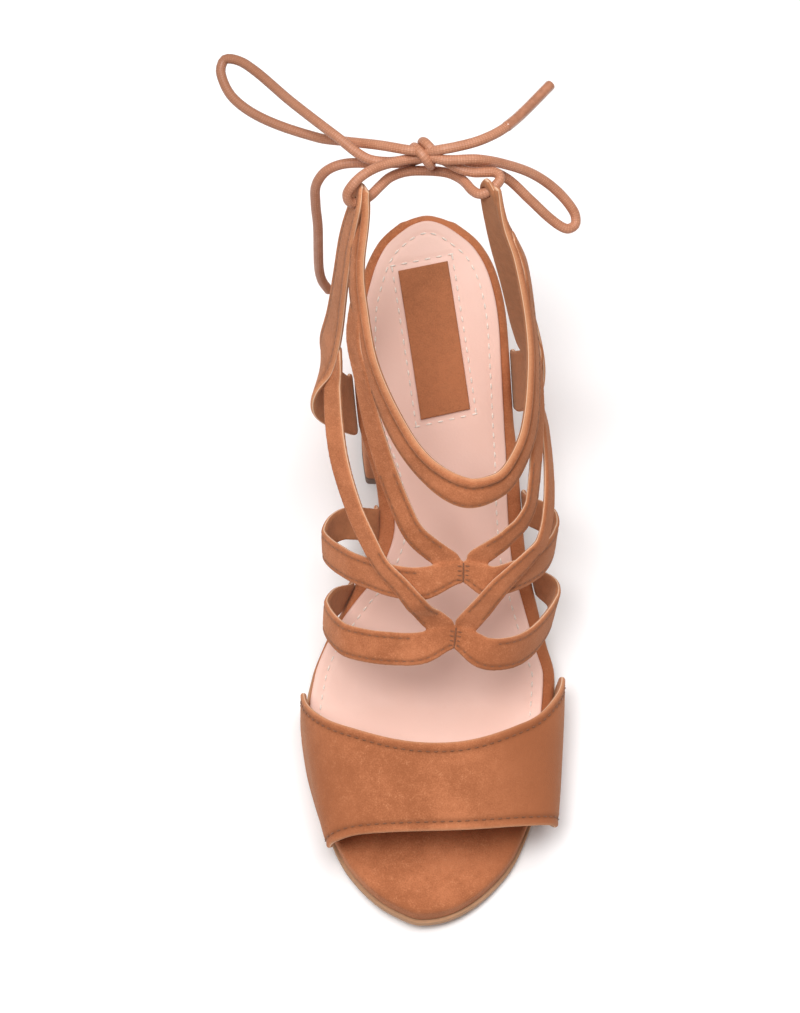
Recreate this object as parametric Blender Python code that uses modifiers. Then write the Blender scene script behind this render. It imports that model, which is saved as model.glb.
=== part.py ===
"""Block heel sandal with a toe band, a cage of straps and a lace tied behind the ankle. Wearer's left shoe.

Sizes are in millimetres and are scaled to metres when a mesh is made. The toe points to -Y, the outer side of the
foot is +X, the floor is Z = 0, and the origin is on the floor under the middle of the forefoot tread.
"""
import math

import bmesh
import bpy
import numpy as np
from mathutils import Quaternion, Vector

MM = 0.001
LENGTH = 220.5  # toe tip to heel end, measured along the floor
BALL_WIDTH = 84.0  # insole board across the ball of the foot
INSTEP = 60.0  # foot bed to the upper strap joint
HEEL_RISE = 79.5  # heel end of the foot bed above the ball
TOE_SPRING = 4.0
TREAD = (45.0, 73.0)  # the flat stretch under the ball, from the toe tip
ORIGIN_FROM_TOE = 59.0
BOARD = 6.5  # suede-wrapped insole board
OUTSOLE = 2.7
GAP = 0.3  # between curved pieces
BALL_HEIGHT = BOARD + GAP + OUTSOLE
SOCK = 1.2
PATCH = 0.8
PATCH_WIDTH = 16.5
PATCH_ENDS = ((4.3, 161.0), (-3.6, 204.0))  # middle of its front and rear edge: x and along
STRAP = 2.0
ARM = 1.8  # the arms are cut from thinner leather than the bands
BAND = 2.2
BREAST = 157.0  # heel breast from the toe tip
HEEL_TAPER = 0.88  # foot of the heel block against its seat
LIFT = 5.0
CORD = 3.2

# along: percent of LENGTH from the toe, medial and lateral: percent of BALL_WIDTH from the long axis
SOLE_OUTLINE = [
    (0.0, -4.3, -4.3),
    (0.9, -12.3, 7.6),
    (2.6, -20.2, 15.8),
    (5.4, -28.2, 24.4),
    (8.4, -34.3, 31.0),
    (11.8, -38.7, 35.7),
    (17.7, -44.0, 41.7),
    (24.5, -48.2, 47.0),
    (31.3, -50.0, 49.4),
    (37.7, -47.6, 50.6),
    (42.3, -43.0, 47.4),
    (46.2, -36.4, 44.5),
    (49.9, -31.0, 41.7),
    (54.9, -23.8, 38.4),
    (58.5, -20.8, 37.1),
    (63.1, -22.1, 35.8),
    (67.6, -26.2, 34.5),
    (72.0, -29.8, 32.7),
    (79.0, -31.5, 31.0),
    (85.8, -31.0, 29.2),
    (91.6, -27.4, 25.2),
    (95.7, -22.0, 18.8),
    (98.4, -14.0, 9.8),
    (100.0, -2.4, -2.4),
]

# along: percent of LENGTH from the toe, rise: percent of HEEL_RISE
FOOT_BED = [
    (33.1, 0.0),
    (42.7, 6.4),
    (49.4, 16.5),
    (58.5, 33.2),
    (67.6, 51.2),
    (76.6, 68.7),
    (85.8, 83.9),
    (92.5, 93.1),
    (98.9, 100.0),
]

# along: percent of LENGTH, medial and lateral: width of the suede rim left beside the sock, mm
SOCK_RIM = [
    (17.4, 1.2, 3.5),
    (35.3, 0.5, 4.0),
    (45.2, 0.6, 4.2),
    (55.2, 5.0, 5.0),
    (63.1, 5.0, 4.6),
    (74.0, 3.6, 3.2),
    (98.9, 2.6, 2.6),
]

# side: -1 medial to 1 lateral over the toes, front and back: the band's edges, percent of LENGTH
TOE_BAND = [
    (-1.0, 9.3, 33.9),
    (-0.8, 9.7, 30.5),
    (-0.5, 10.3, 26.6),
    (0.0, 10.5, 23.2),
    (0.5, 11.5, 27.2),
    (0.8, 12.2, 32.5),
    (1.0, 12.6, 36.3),
]

# along: percent of LENGTH, medial and lateral: the band's inside at its widest, percent of BALL_WIDTH, height:
# percent of INSTEP over the bed
BAND_SECTIONS = [
    (9.8, -40.0, 46.0, 35.0),
    (13.3, -42.4, 47.2, 39.5),
    (20.0, -46.2, 48.8, 47.0),
    (26.5, -49.0, 50.0, 53.0),
    (31.5, -50.4, 50.8, 56.0),
    (37.0, -50.4, 51.6, 58.0),
]
WIDEST = 15.0  # height of the band's widest line over the bed, percent of INSTEP

# x, along, height: the line inside the foot and ankle that every strap faces away from, in mm
CORE = [
    (0.0, -1.0, 20.0),
    (0.0, 59.0, 25.0),
    (5.0, 84.0, 33.0),
    (7.0, 104.0, 48.0),
    (7.0, 129.0, 68.0),
    (4.0, 154.0, 92.0),
    (-1.0, 171.0, 118.0),
    (-5.0, 181.0, 150.0),
    (-5.0, 183.0, 200.0),
]

# Each strap has a row per section. across: percent of BALL_WIDTH from the long axis, along: percent of LENGTH from
# the toe, up: percent of INSTEP over the foot bed, width: mm, and twist: degrees about its own run, 0 where left out.
LOWER_BAND = [
    (-39.7, 46.6, 17.9, 11.5),
    (-42.6, 43.9, 31.5, 11.5),
    (-36.4, 38.9, 54.8, 11.5),
    (-27.4, 36.9, 65.8, 11.5),
    (-16.5, 35.8, 73.4, 11.5),
    (-6.0, 35.5, 77.8, 11.0),
    (7.7, 37.1, 78.1, 8.5),
    (19.3, 34.8, 77.6, 11.0),
    (28.5, 35.2, 72.3, 11.5),
    (36.2, 37.1, 62.3, 11.5),
    (43.2, 40.5, 49.3, 11.5),
    (48.3, 44.6, 32.6, 11.5),
    (48.9, 47.9, 18.7, 11.5),
]
LOWER_FEET = (48.4, 50.8)  # where the band's medial and lateral ends meet the sole, percent of LENGTH
UPPER_BAND = [
    (-34.5, 57.8, 12.0, 11.5),
    (-41.0, 55.7, 24.6, 11.5),
    (-43.1, 52.7, 39.4, 11.0),
    (-34.5, 48.2, 66.4, 11.0),
    (-25.6, 45.9, 80.0, 11.0),
    (-17.5, 44.3, 89.1, 11.5),
    (-6.4, 43.3, 95.9, 11.5),
    (10.5, 45.0, 95.2, 8.0),
    (21.3, 43.6, 95.3, 11.0),
    (28.0, 44.7, 88.1, 11.0),
    (35.6, 46.6, 76.1, 11.0),
    (43.4, 49.7, 57.4, 11.0),
    (48.1, 53.7, 37.0, 11.0),
    (47.5, 57.2, 21.1, 11.5),
]
UPPER_FEET = (58.5, 60.5)
THIRD_MEDIAL = [
    (6.1, 37.7, 77.9, 8.0),
    (-2.3, 39.5, 85.0, 8.5),
    (-7.8, 40.5, 93.8, 8.0),
    (-14.1, 43.2, 94.1, 7.5),
    (-20.9, 45.8, 93.0, 7.5, 4.0),
    (-25.6, 48.7, 91.0, 7.5, 12.0),
    (-32.5, 54.5, 83.4, 7.5, 27.0),
    (-38.4, 62.0, 76.0, 7.5, 44.0),
    (-40.3, 70.8, 66.3, 8.0, 47.0),
    (-38.4, 73.5, 69.8, 7.5, 20.0),
    (-38.4, 75.6, 69.2, 7.0, 22.0),
]
THIRD_LATERAL = [
    (9.7, 38.0, 77.6, 8.0),
    (17.4, 40.3, 88.6, 8.5),
    (23.5, 42.4, 96.0, 8.0),
    (29.9, 45.0, 91.0, 7.5),
    (36.2, 47.4, 87.6, 7.5),
    (41.5, 49.8, 87.0, 7.5),
    (43.9, 55.5, 85.0, 7.5),
    (42.3, 64.4, 77.1, 7.5),
    (38.9, 69.5, 73.1, 8.0),
    (39.4, 74.5, 74.5, 7.5, 10.0),
    (36.3, 76.2, 74.3, 7.0, 20.0),
]
SECOND_MEDIAL = [
    (8.4, 45.7, 94.0, 7.5),
    (-2.7, 47.9, 97.4, 8.5),
    (-9.0, 49.8, 98.3, 8.0, 10.0),
    (-13.6, 52.7, 98.7, 8.0, 15.0),
    (-19.8, 57.7, 100.4, 7.8, 17.0),
    (-25.3, 63.2, 102.9, 7.8, 17.0),
    (-29.3, 68.2, 107.4, 7.6, 14.0),
    (-32.6, 72.4, 112.0, 7.6, 13.0),
    (-31.4, 76.9, 119.6, 7.5, 10.0),
    (-30.3, 80.8, 126.3, 7.0),
]
SECOND_LATERAL = [
    (12.7, 46.2, 93.5, 7.5),
    (24.2, 48.4, 97.6, 7.4),
    (28.5, 49.5, 99.5, 7.2),
    (33.1, 51.0, 101.0, 7.0),
    (36.6, 53.8, 101.1, 7.0, 8.0),
    (38.4, 63.9, 99.5, 7.5),
    (37.9, 68.6, 100.5, 7.5),
    (36.2, 72.6, 103.4, 7.5),
    (31.7, 80.4, 121.9, 7.5),
    (26.2, 83.8, 130.5, 7.0),
]
ANKLE = [
    (-28.9, 88.7, 139.6, 6.5, -50.0),
    (-29.6, 87.4, 135.6, 8.5, -46.0),
    (-30.2, 84.9, 132.5, 8.5, -39.0),
    (-31.6, 80.5, 127.0, 9.0, -23.0),
    (-31.1, 76.5, 122.6, 9.5, -17.0),
    (-26.4, 69.1, 118.6, 10.0, 3.0),
    (-15.0, 60.7, 117.6, 10.0, 6.0),
    (-3.9, 55.7, 121.7, 10.0, 15.0),
    (10.4, 52.8, 124.1, 10.5, 2.0),
    (22.6, 53.8, 123.4, 10.0, 11.0),
    (28.9, 56.2, 121.8, 9.5, 13.0),
    (34.4, 61.1, 119.5, 10.0, 15.0),
    (35.6, 69.1, 117.6, 10.0, 11.0),
    (33.5, 75.2, 119.1, 9.5, 2.0),
    (28.4, 81.5, 126.0, 9.0, -7.0),
    (23.3, 84.9, 132.5, 8.5, -12.0),
    (20.4, 86.8, 138.0, 8.0, -6.0),
    (18.6, 88.4, 144.8, 6.5),
]
QUARTER_MEDIAL = [
    (-45.0, 73.0, 40.5, 20.0, -8.0),
    (-43.1, 75.3, 52.1, 17.5, 21.0),
    (-39.8, 78.0, 70.9, 13.5, 25.0),
    (-37.7, 81.2, 91.6, 11.5, 28.0),
    (-35.5, 84.6, 112.7, 11.0, 32.0),
    (-32.0, 87.3, 131.7, 10.5, 32.0),
    (-30.6, 88.3, 137.4, 9.0, 34.0),
    (-30.0, 88.8, 140.4, 5.0, 34.0),
]
QUARTER_LATERAL = [
    (38.2, 74.7, 37.7, 20.0, -12.0),
    (36.8, 76.2, 52.4, 17.5, 8.0),
    (33.3, 78.3, 71.7, 13.5, 29.0),
    (28.9, 80.8, 91.5, 11.5, 37.0),
    (23.6, 83.8, 112.8, 11.0, 33.0),
    (18.9, 86.6, 131.9, 9.5, 17.0),
    (17.0, 88.2, 142.2, 8.0, 6.0),
    (16.2, 88.9, 147.0, 4.5, 2.0),
]
QUARTER_FEET = (73.9, 77.0)
QUARTER_FOOT_WIDTH = 20.5

# x, along, height in mm: the lace, from the knot through both tabs and back to the knot
LACE_ROUTE = [
    (-9.8, 205.5, 163.0),
    (-15.6, 203.5, 164.4),
    (-20.5, 201.1, 166.0),
    (-24.8, 198.1, 166.8),
    (-28.0, 195.4, 165.6),
    (-29.8, 193.2, 163.0),
    (-29.0, 191.9, 160.2),
    (-26.2, 192.4, 158.6),
    (-22.4, 195.2, 158.0),
    (-19.4, 198.6, 157.6),
    (-16.2, 201.9, 157.0),
    (-11.4, 204.3, 156.0),
    (-5.7, 204.9, 155.6),
    (1.5, 204.2, 155.8),
    (5.4, 201.8, 157.2),
    (7.6, 198.6, 159.6),
    (9.2, 195.6, 161.4),
    (11.4, 193.5, 162.9),
    (13.8, 193.7, 163.8),
    (15.6, 194.9, 164.3),
    (17.3, 196.5, 164.6),
    (18.0, 198.1, 164.5),
    (17.5, 199.7, 164.2),
    (16.0, 200.6, 163.7),
    (13.0, 200.9, 163.0),
    (9.6, 201.2, 162.4),
    (5.0, 202.6, 162.4),
    (0.2, 205.2, 162.8),
]
BARS_SPACING = 0.6  # diameters between points of the bars, close enough for their turns around the tabs
LOOP_MEDIAL = [
    (-11.0, 207.0, 159.2),
    (-16.8, 206.4, 158.8),
    (-23.8, 207.3, 159.6),
    (-32.0, 213.1, 161.2),
    (-47.0, 228.4, 156.0),
    (-62.0, 245.0, 150.0),
    (-68.5, 248.0, 147.5),
    (-70.0, 244.0, 146.0),
    (-66.0, 235.0, 146.0),
    (-56.0, 226.5, 148.0),
    (-39.0, 218.2, 151.8),
    (-30.6, 215.0, 155.8),
    (-19.7, 210.2, 163.0),
    (-10.9, 206.9, 166.5),
]
LOOP_LATERAL = [
    (1.0, 203.2, 167.0),
    (11.0, 203.9, 166.0),
    (20.8, 205.6, 158.5),
    (29.6, 205.8, 151.0),
    (37.3, 203.5, 143.8),
    (43.0, 198.8, 138.2),
    (43.5, 195.3, 136.4),
    (40.7, 193.5, 136.8),
    (35.9, 195.4, 139.2),
    (28.6, 199.4, 145.8),
    (21.1, 203.8, 152.0),
    (14.1, 205.3, 156.2),
    (6.5, 206.5, 158.4),
    (1.4, 206.8, 158.9),
]
END_MEDIAL = [
    (-11.0, 208.2, 154.6),
    (-21.0, 208.3, 154.0),
    (-30.6, 208.7, 152.5),
    (-36.3, 207.6, 149.4),
    (-39.4, 205.3, 144.0),
    (-39.6, 202.8, 136.5),
    (-38.8, 199.6, 125.0),
    (-38.6, 197.0, 112.0),
    (-38.3, 195.6, 100.0),
    (-37.2, 195.2, 91.0),
    (-35.0, 195.0, 84.0),
]
END_LATERAL = [
    (-0.2, 205.8, 169.2),
    (4.2, 206.6, 169.4),
    (10.8, 208.7, 169.0),
    (16.9, 212.3, 167.5),
    (21.2, 216.2, 165.7),
]
AGLET = [
    (21.6, 216.6, 165.5),
    (26.0, 221.5, 164.0),
    (34.6, 231.8, 162.0),
]
AGLET_WIDTH = 3.4
KNOT_MIDDLE = (-5.0, 207.0, 163.5)
KNOT_REACH = 3.7  # from the knot's middle to the cord wound around it
KNOT_TURNS = 1.3
KNOT_PITCH = 3.6


def smooth(x, rows, column):
    """A column of a table at x, by a monotone cubic through its rows; the first column is x."""
    xs = np.array([row[0] for row in rows])
    ys = np.array([row[column] for row in rows])
    steps = np.diff(xs)
    rise = np.diff(ys) / steps
    slope = np.zeros(len(xs))
    slope[0] = rise[0]
    slope[-1] = rise[-1]
    for i in range(1, len(xs) - 1):
        if rise[i - 1] * rise[i] > 0:
            slope[i] = 2 * rise[i - 1] * rise[i] / (rise[i - 1] + rise[i])
    x = min(max(x, xs[0]), xs[-1])
    i = min(int(np.searchsorted(xs, x, side="right")) - 1, len(xs) - 2)
    t = (x - xs[i]) / steps[i]
    a = (1 + 2 * t) * (1 - t) ** 2
    b = t * (1 - t) ** 2
    return (
        a * ys[i]
        + b * steps[i] * slope[i]
        + (1 - a) * ys[i + 1]
        + t * t * (t - 1) * steps[i] * slope[i + 1]
    )


def bed_height(along):
    """Height of the foot bed over the floor at a distance from the toe."""
    if along < TREAD[0]:
        return BALL_HEIGHT + TOE_SPRING * ((TREAD[0] - along) / TREAD[0]) ** 2
    if along <= TREAD[1]:
        return BALL_HEIGHT
    if along > LENGTH:
        return bed_height(LENGTH) + 0.36 * (along - LENGTH)
    return BALL_HEIGHT + HEEL_RISE * smooth(100 * along / LENGTH, FOOT_BED, 1) / 100


def bed_point(x, along, depth):
    """A point at a depth under the foot bed, measured square to it."""
    slope = math.atan2(bed_height(along + 0.5) - bed_height(along - 0.5), 1.0)
    return Vector(
        (x, along + depth * math.sin(slope), bed_height(along) - depth * math.cos(slope))
    )


def turn_of(along):
    """Share of the way round the outline, so that the toe and heel come out round."""
    return math.acos(max(-1.0, min(1.0, 1 - 2 * along / LENGTH))) / math.pi


OUTLINE_TURNS = [(turn_of(a * LENGTH / 100), m, n) for a, m, n in SOLE_OUTLINE]


def outline(turn, side):
    """Edge of the insole board on one side, as (x, along)."""
    along = LENGTH * (1 - math.cos(math.pi * turn)) / 2
    column = 1 if side < 0 else 2
    return Vector((smooth(turn, OUTLINE_TURNS, column) * BALL_WIDTH / 100, along))


def outline_normal(turn, side):
    """Direction out of the board's edge, in plan."""
    a = outline(max(turn - 0.004, 0.0), side)
    b = outline(min(turn + 0.004, 1.0), side)
    run = (b - a).normalized()
    return Vector((run.y, -run.x)) * side


def edge(turn, side, out):
    """The board's edge moved out by a distance, as (x, along)."""
    return outline(turn, side) + outline_normal(turn, side) * out


def collection(name):
    made = bpy.data.collections.new(name)
    bpy.context.scene.collection.children.link(made)
    return made


def material(name, colour, roughness):
    made = bpy.data.materials.new(name)
    made.use_nodes = True
    shader = made.node_tree.nodes["Principled BSDF"]
    shader.inputs["Base Color"].default_value = (*colour, 1.0)
    shader.inputs["Roughness"].default_value = roughness
    shader.inputs["Metallic"].default_value = 0.0
    return made


def add(name, points, faces, into, look=None):
    """A mesh object from millimetre points, moved to the origin on the tread."""
    mesh = bpy.data.meshes.new(name)
    shift = Vector((0.0, ORIGIN_FROM_TOE, 0.0))
    mesh.from_pydata([(Vector(p) - shift) * MM for p in points], [], faces)
    work = bmesh.new()
    work.from_mesh(mesh)
    bmesh.ops.recalc_face_normals(work, faces=work.faces)
    work.to_mesh(mesh)
    work.free()
    made = bpy.data.objects.new(name, mesh)
    into.objects.link(made)
    if look:
        mesh.materials.append(look)
    return made


def loft(name, rings, into, look=None):
    """A closed solid through rings of equal length, with flat ends."""
    n = len(rings[0])
    points = [p for ring in rings for p in ring]
    faces = [tuple(range(n)), tuple(range((len(rings) - 1) * n, len(rings) * n))]
    for k in range(len(rings) - 1):
        for i in range(n):
            j = (i + 1) % n
            faces.append((k * n + i, k * n + j, (k + 1) * n + j, (k + 1) * n + i))
    return add(name, points, faces, into, look)


def apply(obj):
    """Replaces an object's mesh by what its modifiers make of it."""
    graph = bpy.context.evaluated_depsgraph_get()
    mesh = bpy.data.meshes.new_from_object(obj.evaluated_get(graph))
    obj.modifiers.clear()
    obj.data = mesh


def combine(obj, other, how):
    cut = obj.modifiers.new(how.lower(), "BOOLEAN")
    cut.operation = how
    cut.solver = "EXACT"
    cut.object = other
    apply(obj)


def sheet(name, grid, thickness, offset, into, look=None):
    """A leather piece: a grid of points thickened by Solidify."""
    columns = len(grid[0])
    points = [p for row in grid for p in row]
    faces = []
    for k in range(len(grid) - 1):
        for i in range(columns - 1):
            a = k * columns + i
            faces.append((a, a + 1, a + columns + 1, a + columns))
    mesh = bpy.data.meshes.new(name)
    shift = Vector((0.0, ORIGIN_FROM_TOE, 0.0))
    mesh.from_pydata([(Vector(p) - shift) * MM for p in points], [], faces)
    made = bpy.data.objects.new(name, mesh)
    into.objects.link(made)
    wall = made.modifiers.new("wall", "SOLIDIFY")
    wall.thickness = thickness * MM
    wall.offset = offset
    wall.use_even_offset = True
    apply(made)
    if look:
        made.data.materials.clear()
        made.data.materials.append(look)
    return made


def through(points, at, sizes=None):
    """A smooth curve through points, at shares of its length; returns points, and the sizes eased with them."""
    points = [Vector(p) for p in points]
    knots = [0.0]
    for a, b in zip(points, points[1:]):
        knots.append(knots[-1] + (b - a).length)
    table = [(k, *p, *(sizes[i] if sizes else ())) for i, (k, p) in enumerate(zip(knots, points))]
    tangents = []
    last = len(table) - 1
    for i in range(len(table)):
        a = table[max(i - 1, 0)]
        b = table[min(i + 1, last)]
        tangents.append([(b[c] - a[c]) / (b[0] - a[0]) for c in range(1, len(a))])
    made = []
    for share in at:
        s = share * knots[-1]
        i = min(max(int(np.searchsorted(knots, s, side="right")) - 1, 0), last - 1)
        h = knots[i + 1] - knots[i]
        t = (s - knots[i]) / h
        a = (1 + 2 * t) * (1 - t) ** 2
        b = t * (1 - t) ** 2 * h
        d = t * t * (t - 1) * h
        made.append(
            [
                a * table[i][c + 1]
                + b * tangents[i][c]
                + (1 - a) * table[i + 1][c + 1]
                + d * tangents[i + 1][c]
                for c in range(len(tangents[0]))
            ]
        )
    return made


def away_from_core(point):
    """Unit direction from the nearest place on the core line to a point."""
    best = None
    for a, b in zip(CORE, CORE[1:]):
        a = Vector(a)
        run = Vector(b) - a
        t = min(1.0, max(0.0, (point - a).dot(run) / run.length_squared))
        to = point - a - run * t
        if best is None or to.length < best.length:
            best = to
    return best.normalized()


def strap_point(row):
    along = row[1] * LENGTH / 100
    return Vector((row[0] * BALL_WIDTH / 100, along, bed_height(along) + row[2] * INSTEP / 100))


def sole_rows(side, station, width, thickness):
    """Two rows that stand a strap's end against the sole's edge, lowest first."""
    turn = turn_of(station * LENGTH / 100)
    out = outline_normal(turn, side)
    spot = edge(turn, side, GAP + thickness / 2 - 0.5)
    low = bed_point(spot.x, spot.y, BOARD - 0.5)
    high = bed_point(spot.x, spot.y, 0.0) + Vector((out.x, out.y, 0.0)) * 0.3
    facing = Vector((out.x, out.y, 0.0))
    return [(low, width, facing, 0.0), (high, width, facing, 0.0)]


def strap_rows(table):
    """Rows of a strap: its place, width, facing and twist."""
    rows = []
    for row in table:
        point = strap_point(row)
        rows.append((point, row[3], away_from_core(point), row[4] if len(row) > 4 else 0.0))
    return rows


def strap(name, rows, sections, thickness, into):
    """A strap lofted through its rows, facing away from the foot's core."""
    at = [k / (sections - 1) for k in range(sections)]
    sizes = [(width, *facing, twist) for _, width, facing, twist in rows]
    line = through([row[0] for row in rows], at, sizes)
    grid = []
    for k, place in enumerate(line):
        here = Vector(place[:3])
        run = Vector(line[min(k + 1, sections - 1)][:3]) - Vector(line[max(k - 1, 0)][:3])
        across = run.cross(Vector(place[4:7])).normalized()
        across.rotate(Quaternion(run, math.radians(place[7])))
        across *= place[3] / 2
        grid.append([here - across, here + across])
    return sheet(name, grid, thickness, 0.0, into)


def cord(name, route, into, look=None, diameter=CORD, spacing=2.0):
    """A round cord along a smooth route, with a point at every so many diameters."""
    rough = sum((Vector(b) - Vector(a)).length for a, b in zip(route, route[1:]))
    count = max(4, min(80, int(rough / (spacing * diameter)) + 1))
    line = through(route, [k / (count - 1) for k in range(count)])
    data = bpy.data.curves.new(name, "CURVE")
    data.dimensions = "3D"
    data.bevel_depth = diameter / 2 * MM
    data.bevel_resolution = 2
    data.use_fill_caps = True
    spline = data.splines.new("POLY")
    spline.points.add(len(line) - 1)
    for point, place in zip(spline.points, line):
        point.co = (place[0] * MM, (place[1] - ORIGIN_FROM_TOE) * MM, place[2] * MM, 1.0)
    made = bpy.data.objects.new(name, data)
    into.objects.link(made)
    mesh = bpy.data.meshes.new_from_object(made)
    bpy.data.objects.remove(made)
    solid = bpy.data.objects.new(name, mesh)
    into.objects.link(solid)
    mesh.materials.clear()
    if look:
        mesh.materials.append(look)
    return solid


def knot_route():
    """One winding of cord around the knot's middle, turning about the X axis."""
    steps = 16
    route = []
    for k in range(steps + 1):
        angle = 2 * math.pi * KNOT_TURNS * (k / steps - 0.5)
        route.append(
            (
                KNOT_MIDDLE[0] + KNOT_PITCH * KNOT_TURNS * (k / steps - 0.5),
                KNOT_MIDDLE[1] + KNOT_REACH * math.sin(angle),
                KNOT_MIDDLE[2] + KNOT_REACH * math.cos(angle),
            )
        )
    return route


def board_ring(turn, out, top, bottom, corner):
    """A section across the sole between two depths, with its upper corners rounded."""
    ring = []
    for side in (-1, 1):
        half = []
        for inset, depth in ((corner, top), (0.3 * corner, top + 0.3 * corner), (0.0, top + corner)):
            spot = edge(turn, side, out - inset)
            half.append(bed_point(spot.x, spot.y, depth))
        spot = edge(turn, side, out)
        half.append(bed_point(spot.x, spot.y, bottom))
        ring.extend(half if side < 0 else half[::-1])
    return ring


def flat_ring(turn, outs, top, bottom):
    """A plain four-cornered section; outs moves the medial and lateral edges."""
    left = edge(turn, -1, outs[0])
    right = edge(turn, 1, outs[1])
    return [
        bed_point(left.x, left.y, top),
        bed_point(left.x, left.y, bottom),
        bed_point(right.x, right.y, bottom),
        bed_point(right.x, right.y, top),
    ]


def turns(first, last, count):
    return [first + (last - first) * k / (count - 1) for k in range(count)]


def heel_ring(share, height):
    """A level section of the heel block; share runs from its foot, 0, to its seat, 1."""
    scale = HEEL_TAPER + (1 - HEEL_TAPER) * share
    first = turn_of(BREAST)
    ring = []
    for side, order in ((-1, 1), (1, -1)):
        half = []
        for turn in turns(first, 0.985, 12)[::order]:
            spot = edge(turn, side, -0.4)
            half.append(
                Vector((spot.x * scale, BREAST + (spot.y - BREAST) * (scale - 0.01), height))
            )
        ring.extend(half)
    return ring


def toe_band_grid():
    """The inside of the toe band, from its medial foot over the toes to its lateral foot."""
    sides = [-1.0 + k / 12 for k in range(25)]
    # each side hangs from its widest line to the sole in three folds: share of the way in, height over the bed and
    # how far its front is cut back
    folds = [(0.0, 0.4 - BOARD, 11.0), (0.0, -0.8, 8.5), (0.35, 2.0, 5.0)]
    rows = [(-1.0, fold) for fold in folds]
    rows += [(side, None) for side in sides]
    rows += [(1.0, fold) for fold in folds[::-1]]
    grid = []
    for side, fold in rows:
        front = smooth(side, TOE_BAND, 1) * LENGTH / 100 + (fold[2] if fold else 0.0)
        back = smooth(side, TOE_BAND, 2) * LENGTH / 100
        line = []
        for j in range(8):
            along = front + (back - front) * j / 7
            share = 100 * along / LENGTH
            medial = smooth(share, BAND_SECTIONS, 1) * BALL_WIDTH / 100
            lateral = smooth(share, BAND_SECTIONS, 2) * BALL_WIDTH / 100
            height = smooth(share, BAND_SECTIONS, 3) * INSTEP / 100
            low = WIDEST * INSTEP / 100
            if fold:
                foot = edge(turn_of(along), side, GAP).x
                wide = medial if side < 0 else lateral
                x = foot + (wide - foot) * fold[0]
                z = fold[1]
            else:
                angle = math.pi / 2 * side
                x = (medial + lateral) / 2 + (lateral - medial) / 2 * math.copysign(
                    abs(math.sin(angle)) ** 0.87, side
                )
                z = low + (height - low) * max(0.0, math.cos(angle)) ** 0.87
            line.append(Vector((x, along, bed_height(along) + z)))
        grid.append(line)
    return grid


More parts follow.
